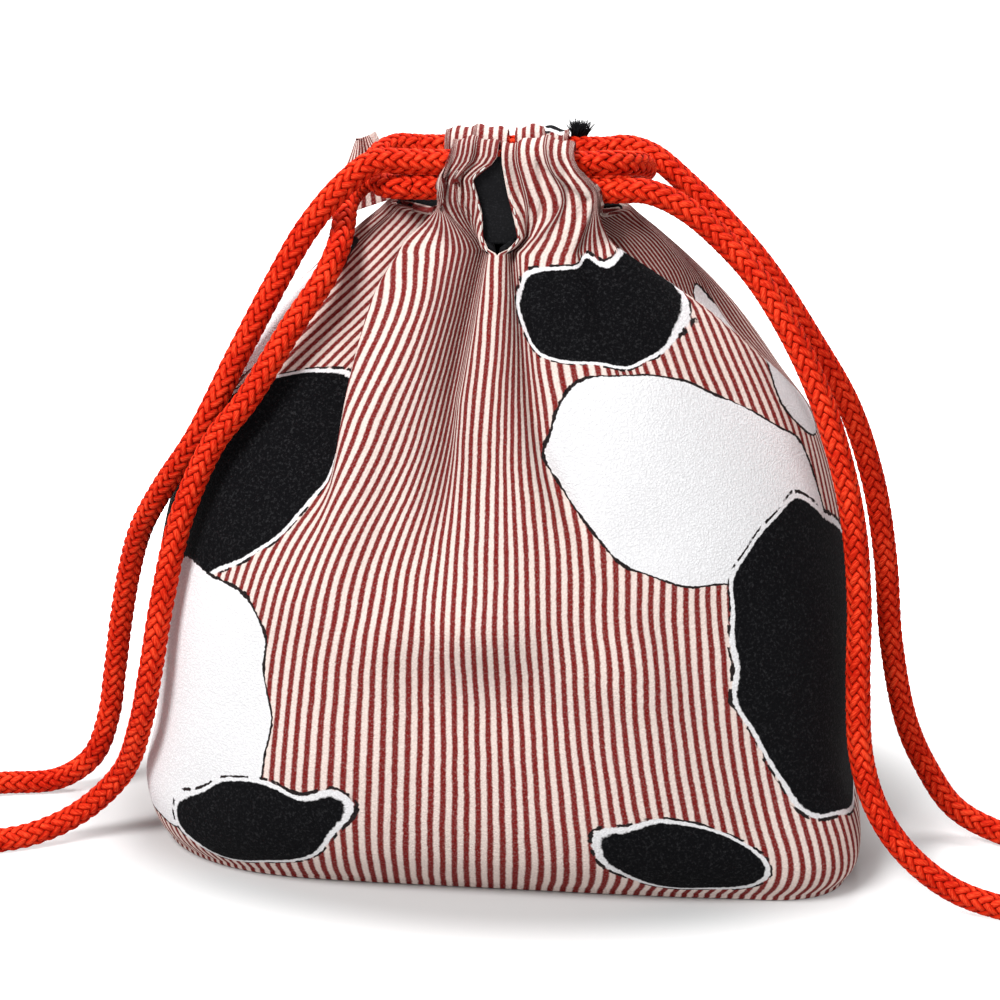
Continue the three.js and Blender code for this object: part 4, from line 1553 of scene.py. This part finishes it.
@dataclass
class ClothGrid:
    """The grid of points of one quarter of the cloth, with its places in the weave."""

    corner: Corner
    form: ShellForm = field(default_factory=ShellForm)
    columns: int = 150
    wall_rows: int = 96
    foot: float = 1.3
    neck_share: float = 0.985
    hem: tuple[tuple[float, float], ...] = ((1.27, 1.0), (1.1, 0.42), (0.75, 0.14))
    tightest: float = 4.0

    def build(self) -> tuple[Array, Array]:
        """Lay the whole quarter, from the base seam to the hem inside its tab.

        Returns:
            Points (rows, columns, 3) and weave places (rows, columns, 3), both in millimetres. The third
            number of a weave place is the packing: how many millimetres of cloth share one of the row.
        """
        even = np.linspace(0.0, 1.0, self.columns + 1)
        cloth = self.form.quarter_cloth * (0.4 * even + 0.6 * even**2)
        low = self.foot / self.form.neck_height
        shares = np.linspace(0.0, 1.0, self.wall_rows + 1) * (self.neck_share - low) + low
        wall = np.array([self.form.row(self.corner, float(share), cloth) for share in shares])
        seam = []
        for drop, tuck in self.hem:
            row = wall[0].copy()
            row[:, :2] *= 1.0 - tuck / np.linalg.norm(row[:, :2], axis=1, keepdims=True)
            row[:, 2] -= drop
            seam.append(row)
        tab = MouthForm().rows(self.corner, cloth, wall[-3], wall[-1])
        points = np.concatenate([np.array(seam), wall, tab])
        return points, self.weave(points, cloth)

    def weave(self, points: Array, cloth: Array) -> Array:
        """Find the place in the weave of every point.

        Args:
            points: Points of the grid.
            cloth: Places along a row.

        Returns:
            Weave places (rows, columns, 3). Cloth that is turned in at the slit cuts the stripes off there.
        """
        turned = TABS[self.corner].turned_in * smooth((points[:, :, 2] - 129.5) / 13.0)
        u = self.corner.across * (cloth + turned * (1.0 - cloth / self.form.quarter_cloth))
        steps = np.linalg.norm(np.diff(points, axis=0), axis=2).mean(axis=1)
        v = np.concatenate([[0.0], np.cumsum(steps)])[:, None] + np.zeros_like(u)
        span = np.linalg.norm(np.diff(points, axis=1), axis=2)
        packing = np.minimum(np.diff(cloth) / np.maximum(span, 0.05), self.tightest)
        between = 0.5 * (packing[:, 1:] + packing[:, :-1])
        packing = np.concatenate([packing[:, :1], between, packing[:, -1:]], axis=1)
        return np.stack([u, v, packing], axis=-1)


def sunk(grid: Array, depth: float, corner: Corner) -> Array:
    """Move a grid of points inward along its normals.

    Args:
        grid: Points (rows, columns, 3).
        depth: How far to move them.
        corner: The quarter that the grid belongs to.

    Returns:
        The moved points.
    """
    along, up = np.gradient(grid, axis=1), np.gradient(grid, axis=0)
    return grid - unit(np.cross(along, up) * (-corner.across * corner.depth)) * depth


def grid_object(name: str, grid: Array, thickness: float,
                weave: tuple[float, float] | None = None) -> bpy.types.Object:
    """Make a thin piece of cloth from a grid of points, seen from the front.

    Args:
        name: Name of the piece.
        grid: Points (rows, columns, 3) in millimetres.
        thickness: Thickness of the cloth.
        weave: Weave place of the grid's first corner, or nothing for plain cloth.

    Returns:
        The finished mesh.
    """
    faces = grid_faces(*grid.shape[:2])
    if np.cross(grid[0, 1] - grid[0, 0], grid[1, 0] - grid[0, 0])[1] > 0.0:
        faces = faces[:, ::-1]
    obj = mesh_object(name, grid.reshape(-1, 3), faces.tolist())
    if weave:
        along = np.concatenate([[0.0], np.cumsum(np.linalg.norm(np.diff(grid, axis=0), axis=2).mean(axis=1))])
        place = np.broadcast_arrays(weave[0] + travelled(grid[0])[None, :], weave[1] + along[:, None])
        write_uv(obj, "weave", np.stack(place, axis=-1).reshape(-1, 2) / 100.0)
    thicken(obj, thickness)
    if thickness > 1.0:
        rounded = obj.modifiers.new("rounded", "BEVEL")
        rounded.width = 0.35 * thickness * MM
        rounded.segments = 3
    apply_modifiers(obj)
    return obj


@dataclass(frozen=True)
class StitchRow:
    """Geometry nodes that sew short stitches along lines."""

    name: str = "stitch_row"

    def tree(self) -> bpy.types.NodeTree:
        """Build the tree.

        Returns:
            The tree, whose inputs are the lines and the stitches' pitch, length, thickness and material.
        """
        inputs = {"Geometry": "Geometry", "Pitch": "Float", "Length": "Float", "Thickness": "Float",
                  "Material": "Material"}
        sheet, given = node_group(self.name, "Geometry", inputs, {"Geometry": "Geometry"})
        curve = sheet.add("GeometryNodeMeshToCurve", {0: given["Geometry"]})
        even = sheet.add("GeometryNodeResampleCurve", {"Curve": curve.outputs[0], "Length": given["Pitch"]},
                         mode="LENGTH")
        ball = sheet.add("GeometryNodeMeshIcoSphere", {"Radius": 0.5, "Subdivisions": 2})
        size = sheet.joined(given["Thickness"], given["Thickness"], given["Length"])
        shaped = sheet.add("GeometryNodeTransform", {"Geometry": ball.outputs[0], "Scale": size})
        tangent = sheet.add("GeometryNodeInputTangent")
        turn = sheet.add("FunctionNodeAlignRotationToVector", {"Vector": tangent.outputs[0]}, axis="Z")
        return dressed_instances(sheet, even.outputs[0], shaped.outputs[0], {"Rotation": turn.outputs[0]},
                                 given["Material"])


@dataclass(frozen=True)
class ThreadTuft:
    """Geometry nodes that make a tuft of short threads round a point."""

    name: str = "thread_tuft"
    scatter_low: Point = (-1.6, -1.2, -0.4)
    scatter_high: Point = (1.6, 1.2, 0.6)
    lean_low: Point = (-0.55, -0.5, -3.0)
    lean_high: Point = (0.55, 0.75, 3.0)
    tip_radius: float = 0.03
    foot_radius: float = 0.16

    def tree(self) -> bpy.types.NodeTree:
        """Build the tree.

        Returns:
            The tree, whose inputs are the tuft's middle, and the count, length and material of its threads.
        """
        inputs = {"Geometry": "Geometry", "Middle": "Vector", "Count": "Int", "Length": "Float",
                  "Material": "Material"}
        sheet, given = node_group(self.name, "Geometry", inputs, {"Geometry": "Geometry"})
        limits = {0: metres(self.scatter_low), 1: metres(self.scatter_high), "Seed": 4}
        scatter = sheet.add("FunctionNodeRandomValue", limits, data_type="FLOAT_VECTOR")
        position = sheet.vector("ADD", scatter.outputs[0], given["Middle"])
        points = sheet.add("GeometryNodePoints", {"Count": given["Count"], "Position": position})
        blade = sheet.add("GeometryNodeMeshCone", {
            "Vertices": 4, "Radius Top": self.tip_radius * MM, "Radius Bottom": self.foot_radius * MM,
            "Depth": given["Length"]})
        lean = sheet.add("FunctionNodeRandomValue", {0: self.lean_low, 1: self.lean_high, "Seed": 11},
                         data_type="FLOAT_VECTOR")
        grow = sheet.add("FunctionNodeRandomValue", {"Min": 0.5, "Max": 1.15, "Seed": 7}, data_type="FLOAT")
        spread = {"Rotation": lean.outputs[0], "Scale": sheet.joined(1.0, 1.0, grow.outputs[1])}
        return dressed_instances(sheet, points.outputs[0], blade.outputs["Mesh"], spread, given["Material"])


def dressed_instances(sheet: NodeSheet, points: Socket, piece: Socket,
                      spread: dict[int | str, object], material: Socket) -> bpy.types.NodeTree:
    """End a geometry nodes tree with a piece on every point, made real and given a material.

    Args:
        sheet: The tree's sheet.
        points: Where the pieces go.
        piece: The piece.
        spread: Rotation and scale of the pieces.
        material: Their material.

    Returns:
        The finished tree.
    """
    placed = sheet.add("GeometryNodeInstanceOnPoints", {"Points": points, "Instance": piece, **spread})
    real = sheet.add("GeometryNodeRealizeInstances", {0: placed.outputs[0]})
    dressed = sheet.add("GeometryNodeSetMaterial", {"Geometry": real.outputs[0], "Material": material})
    return sheet.give({0: dressed.outputs[0]})


@dataclass
class Pouch:
    """The cloth body of the pouch: printed cloth, lining, base, board and the small pieces at the mouth."""

    cloth_thickness: float = 0.9
    lining_gap: float = 0.35
    lining_thickness: float = 0.5
    lining_foot: float = 4.9
    lining_rows_above_wall: int = 9
    back_print: float = 280.0
    base_print: float = 130.0
    facing_reach: float = 7.0
    facing_heights: tuple[float, float] = (130.6, 148.4)
    facing_front: float = -13.0
    facing_thickness: float = 0.34
    hem_low: Point = (-22.0, 15.7, 136.0)
    hem_high: Point = (-42.0, 11.6, 129.5)
    hem_tip: Point = (-33.2, 15.6, 147.6)
    hem_thickness: float = 1.7
    tuft_middle: Point = (14.2, 12.2, 149.2)
    tuft_length: float = 3.1
    tuft_threads: int = 300
    stitch_pitch: float = 2.1
    stitch_length: float = 1.5
    stitch_thickness: float = 0.36
    stitch_lift: float = 0.1
    hinge_foot: tuple[float, float] = (6.0, 128.5)
    hinge_top: tuple[float, float] = (12.0, 140.5)
    grids: dict[Corner, tuple[Array, Array]] = field(
        default_factory=lambda: {corner: ClothGrid(corner).build() for corner in Corner})
    printed: PrintFinish = field(default_factory=PrintFinish)
    lining: LiningFinish = field(default_factory=LiningFinish)

    def hinge(self, obj: bpy.types.Object) -> None:
        """Bake a piece's placing into its mesh."""
        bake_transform(obj)

    def layer(self, name: str, half: Half, first: int, last: int, inset: float, thickness: float,
              shift: float) -> bpy.types.Object:
        """Join the two quarters of a half between two rows and give the cloth its thickness.

        Args:
            name: Name of the piece.
            half: Which half.
            first: Number of the lowest row.
            last: Number of the row after the highest.
            inset: How far the layer lies under the outside of the cloth.
            thickness: Thickness of the layer.
            shift: How far its print is moved along.

        Returns:
            The finished mesh.
        """
        points, places, faces = [], [], []
        start = 0
        for corner in sorted((c for c in Corner if c.depth == half.value), key=lambda c: c.across):
            grid, weave = self.grids[corner]
            part = (sunk(grid, inset, corner) if inset else grid)[first:last]
            quads = grid_faces(*part.shape[:2]) + start
            if corner.across * corner.depth > 0:
                quads = quads[:, ::-1]
            faces += quads.tolist()
            points.append(part.reshape(-1, 3))
            places.append(weave[first:last].reshape(-1, 3) + np.array([shift, 0.0, 0.0]))
            start += len(points[-1])
        obj = mesh_object(name, np.vstack(points), faces)
        place = np.vstack(places)
        write_uv(obj, "weave", place[:, :2] / 100.0)
        write_uv(obj, "packing", place[:, [2, 2]])
        join_doubles(obj, 0.02)
        thicken(obj, thickness).use_even_offset = False
        apply_modifiers(obj)
        return obj

    def walls(self, half: Half) -> list[bpy.types.Object]:
        """Make the printed cloth and the lining of one half.

        Args:
            half: Which half.

        Returns:
            The two pieces.
        """
        grid = self.grids[Corner.FRONT_LEFT][0]
        shift = 0.0 if half is Half.FRONT else self.back_print
        outer = self.layer(f"{half.label}_cloth", half, 0, len(grid), 0.0, self.cloth_thickness, shift)
        self.printed.dress(outer, "printed_cloth")
        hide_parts(f"outer_{half.label}", f"{half.label}_left_tab", f"{half.label}_right_tab")
        self.hinge(outer)
        first = int(np.argmax(grid[:, :, 2].mean(axis=1) > self.lining_foot))
        last = ClothGrid.wall_rows + self.lining_rows_above_wall
        inner = self.layer(f"{half.label}_lining", half, first, last, self.cloth_thickness + self.lining_gap,
                           self.lining_thickness, 0.0)
        self.lining.dress(inner, "black_lining")
        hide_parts(f"lining_{half.label}")
        self.hinge(inner)
        return [outer, inner]

    def outline(self, row: int) -> Array:
        """Follow one row of the wall all round, from the middle of the front to the right and on.

        Args:
            row: Number of the row.

        Returns:
            Points of the row.
        """
        parts = []
        for corner in (Corner.FRONT_RIGHT, Corner.BACK_RIGHT, Corner.BACK_LEFT, Corner.FRONT_LEFT):
            line = self.grids[corner][0][row]
            parts.append(line[:-1] if corner.across * corner.depth < 0 else line[:0:-1])
        return np.vstack(parts)

    def panel(self, name: str, outline: Array, levels: Sequence[tuple[float, float]],
              shift: float) -> bpy.types.Object:
        """Make a flat panel with rounded edges that fills an outline.

        Args:
            name: Name of the piece.
            outline: Points round the panel.
            levels: Inset and height of each ring, from the middle of its top to the middle of its bottom.
            shift: How far its print is moved along.

        Returns:
            The panel.
        """
        count = len(outline)
        reach = np.linalg.norm(outline[:, :2], axis=1, keepdims=True)
        rings = []
        for inset, height in levels:
            flat = outline[:, :2] * np.maximum(1.0 - inset / reach, 0.02)
            rings.append(np.column_stack([flat, np.full(count, height)]))
        points = np.vstack(rings)
        faces = grid_faces(len(rings), count, ringed=True)[:, [0, 3, 2, 1]].tolist()
        last = (len(rings) - 1) * count
        faces += [list(range(count)), list(range(last, last + count))[::-1]]
        obj = mesh_object(name, points, faces, "pouch")
        write_uv(obj, "weave", (points[:, :2] + np.array([shift, 60.0])) / 100.0)
        return obj

    def floors(self) -> list[bpy.types.Object]:
        """Make the base panel and the lining floor.

        Returns:
            The two pieces.
        """
        levels = [(40.0, 1.15), (10.0, 1.15), (1.6, 1.15), (1.15, 0.95), (1.05, 0.6), (1.15, 0.25),
                  (1.6, 0.05), (10.0, 0.02), (40.0, 0.02)]
        base = self.panel("base_cloth", self.outline(1), levels, self.base_print)
        self.printed.dress(base, "printed_cloth")
        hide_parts("outer_base")
        inset = self.cloth_thickness + self.lining_gap
        levels = [(40.0, 4.45), (10.0, 4.45), (inset + 0.6, 4.5), (inset + 0.25, 4.4), (inset + 0.15, 4.15),
                  (inset + 0.25, 3.95), (inset + 0.6, 3.85), (10.0, 3.85), (40.0, 3.85)]
        floor = self.panel("lining_floor", self.outline(5), levels, 0.0)
        self.lining.dress(floor, "black_lining")
        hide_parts("lining_base")
        return [base, floor]

    def facing(self) -> bpy.types.Object:
        """Make the black facing behind the front slit, in front of the cords.

        Returns:
            The piece.
        """
        across = np.linspace(-self.facing_reach, self.facing_reach, 29)
        low, high = self.facing_heights
        rows = []
        for left, right in zip(self.grids[Corner.FRONT_LEFT][0], self.grids[Corner.FRONT_RIGHT][0]):
            if low < left[0, 2] and right[0, 2] < high and left[0, 1] < self.facing_front:
                line = np.vstack([left[::-1], right])
                line = line[np.argsort(line[:, 0], kind="stable")]
                y, z = (np.interp(across, line[:, 0], line[:, axis]) for axis in (1, 2))
                rows.append(np.column_stack([across, y + 1.0, z]))
        sheet = np.array(rows)
        sheet[:, :, 1] = np.maximum(sheet[:, :, 1], -14.5 - 0.22 * np.maximum(138.6 - sheet[:, :, 2], 0.0))
        obj = grid_object("slit_facing", sheet, self.facing_thickness)
        self.lining.dress(obj, "black_lining")
        self.hinge(obj)
        return obj

    def hem_corner(self) -> bpy.types.Object:
        """Make the corner of the hem that stands up beside the left back tab.

        Returns:
            The piece.
        """
        low, high, tip = np.array(self.hem_low), np.array(self.hem_high), np.array(self.hem_tip)
        rows = []
        for t in np.linspace(0.0, 1.0, 26):
            middle = (low + high) / 2.0 + (tip - (low + high) / 2.0) * t
            narrow = (0.55 + 0.45 * (1.0 - t**1.7)) * (1.0 if t < 1.0 else 0.98)
            line = []
            for k in np.linspace(0.0, 1.0, 24):
                foot = low + (high - low) * k
                top = tip + np.array((-6.0, -0.3, -2.6)) * (k - 0.45)
                curl = 1.2 * math.sin(math.pi * k) * (1.0 - t) + 0.9 * math.sin(2.3 * math.pi * k) * t
                line.append(middle + (foot + (top - foot) * t - middle) * narrow + np.array((0.0, curl, 0.0)))
            rows.append(line)
        obj = grid_object("left_hem_corner", np.array(rows), self.hem_thickness, (-118.0, 150.0))
        self.printed.dress(obj, "printed_cloth")
        self.hinge(obj)
        return obj

    def tuft(self) -> bpy.types.Object:
        """Make the tuft of loose lining threads at the outer end of the right back tab.

        Returns:
            The piece.
        """
        obj = mesh_object("thread_tuft", np.zeros((1, 3)), [])
        apply_nodes(obj, ThreadTuft().tree(), {
            "Middle": metres(self.tuft_middle), "Count": self.tuft_threads, "Length": self.tuft_length * MM,
            "Material": self.lining.material()})
        obj.data.polygons.foreach_set("use_smooth", [True] * len(obj.data.polygons))
        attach(obj, "back_mouth")
        return obj

    def stitches(self, half: Half, tree: bpy.types.NodeTree) -> bpy.types.Object:
        """Sew along the slit of one half, and under the casing at the back.

        Args:
            half: Which half.
            tree: The geometry nodes of a row of stitches.

        Returns:
            The piece.
        """
        lines = []
        first = ClothGrid.wall_rows + 3
        for corner in (c for c in Corner if c.depth == half.value):
            points = self.grids[corner][0]
            raised = points + self.stitch_lift * (points - sunk(points, 1.0, corner))
            lines.append(raised[first + 3:first + 30, 2])
            if half is Half.BACK:
                lines.append(raised[first + 24, 4:-2])
        edges = []
        start = 0
        for line in lines:
            edges += [(start + k, start + k + 1) for k in range(len(line) - 1)]
            start += len(line)
        obj = mesh_object(f"{half.label}_stitches", np.vstack(lines), [], edges=edges)
        apply_nodes(obj, tree, {
            "Pitch": self.stitch_pitch * MM, "Length": self.stitch_length * MM,
            "Thickness": self.stitch_thickness * MM, "Material": ThreadFinish().material()})
        self.hinge(obj)
        return obj

    def build(self) -> list[bpy.types.Object]:
        """Make every cloth piece of the pouch and dress its board.

        Returns:
            The new pieces.
        """
        made = [*self.walls(Half.FRONT), *self.walls(Half.BACK), *self.floors()]
        BoardFinish().dress(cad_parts["base_board"], "base_stiffener")
        made += [self.facing(), self.hem_corner(), self.tuft()]
        tree = StitchRow().tree()
        return made + [self.stitches(half, tree) for half in Half]


# Studio


def aimed(obj: bpy.types.Object, place: Point, target: Point) -> bpy.types.Object:
    """Put a lamp or the camera in the scene and turn it to face a point.

    Args:
        obj: The lamp or camera.
        place: Where it is, in millimetres.
        target: What it faces.

    Returns:
        The same object.
    """
    obj.location = metres(place)
    obj.rotation_euler = Vector([t - p for t, p in zip(target, place)]).to_track_quat("-Z", "Y").to_euler()
    bpy.context.scene.collection.objects.link(obj)
    return obj


@dataclass
class Studio:
    """Pale floor, soft lamps and the camera."""

    camera_place: Point = (43.4, -426.8, 206.3)
    camera_target: Point = (-1.5, 0.0, 71.0)
    lens: float = 73.7
    sensor: float = 36.0
    floor_reach: float = 4000.0
    floor_colour: Colour = (0.55, 0.55, 0.55, 1.0)
    world_light: float = 0.22

    # Name, place, target, length of the side and power in watts of each square lamp
    LAMPS = (
        ("key_lamp", (-300.0, -420.0, 640.0), (0.0, 0.0, 60.0), 260.0, 6.7),
        ("fill_lamp", (560.0, -520.0, 320.0), (0.0, 0.0, 60.0), 480.0, 1.2),
        ("top_lamp", (40.0, 330.0, 680.0), (0.0, 0.0, 30.0), 260.0, 4.2),
    )

    def seen(self, sheet: NodeSheet) -> Socket:
        """Find the rays that see a surface itself: the camera's, and those that a gloss or glass sends on.

        Args:
            sheet: The material's sheet.

        Returns:
            1 for those rays, 0 for the light that a surface gets from another.
        """
        path = sheet.add("ShaderNodeLightPath").outputs
        seen = sheet.math("MAXIMUM", path["Is Camera Ray"], path["Is Glossy Ray"])
        return sheet.math("MAXIMUM", seen, path["Is Transmission Ray"])

    def floor_material(self) -> bpy.types.Material:
        """Build the pale floor, which clips to white for the camera and keeps its shadows.

        Returns:
            The material.
        """
        material = bpy.data.materials.new("pale_floor")
        material.use_nodes = True
        material.node_tree.nodes.clear()
        sheet = NodeSheet(material.node_tree)
        away = sheet.vector("LENGTH", sheet.vector("MULTIPLY", sheet.place(), (0.66, 1.0, 1.0)), out=1)
        near = sheet.ramp(away, 0.055, 0.075, 0.0, 0.65)
        far = sheet.ramp(away, 0.075, 0.097, 0.0, 0.8)
        glow = sheet.math("ADD", near, far)
        matt = sheet.add("ShaderNodeBsdfDiffuse", {"Color": self.floor_colour})
        lit = sheet.add("ShaderNodeEmission", {"Strength": sheet.math("MULTIPLY", self.seen(sheet), glow)})
        both = sheet.add("ShaderNodeAddShader", {0: matt.outputs[0], 1: lit.outputs[0]})
        sheet.add("ShaderNodeOutputMaterial", {0: both.outputs[0]})
        return material

    def world(self) -> None:
        """Light the scene from all round and show white behind it."""
        world = bpy.data.worlds.new("studio")
        world.use_nodes = True
        bpy.context.scene.world = world
        sheet = NodeSheet(world.node_tree)
        back = world.node_tree.nodes["Background"]
        sheet.feed(back.inputs["Color"], (1.0, 1.0, 1.0, 1.0))
        sheet.feed(back.inputs["Strength"], sheet.ramp(self.seen(sheet), 0.0, 1.0, self.world_light, 1.0))

    def build(self) -> None:
        """Make the floor, the light and the camera."""
        reach = self.floor_reach
        corners = np.array([(x * reach, y * reach, 0.0) for x, y in ((-1, -1), (1, -1), (1, 1), (-1, 1))])
        floor = mesh_object("pale_floor", corners, [(0, 1, 2, 3)])
        floor.data.materials.append(self.floor_material())
        self.world()
        for name, place, target, size, watts in self.LAMPS:
            lamp = bpy.data.lights.new(name, "AREA")
            lamp.size = size * MM
            lamp.energy = watts
            aimed(bpy.data.objects.new(name, lamp), place, target)
        data = bpy.data.cameras.new("camera")
        data.lens = self.lens
        data.sensor_width = self.sensor
        data.clip_start = 0.01
        camera = bpy.data.objects.new("camera", data)
        bpy.context.scene.camera = aimed(camera, self.camera_place, self.camera_target)
        bpy.context.scene.view_settings.view_transform = "Standard"
        LOG.info("studio ready")


def main() -> None:
    """Build the studio and every piece of the pouch."""
    logging.basicConfig(level=logging.INFO, format="%(name)s: %(message)s")
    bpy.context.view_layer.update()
    Studio().build()
    for piece in (*Cords().build(), *Pouch().build()):
        LOG.info("%s: %d faces", piece.name, len(piece.data.polygons))


if __name__ == "__main__":
    main()
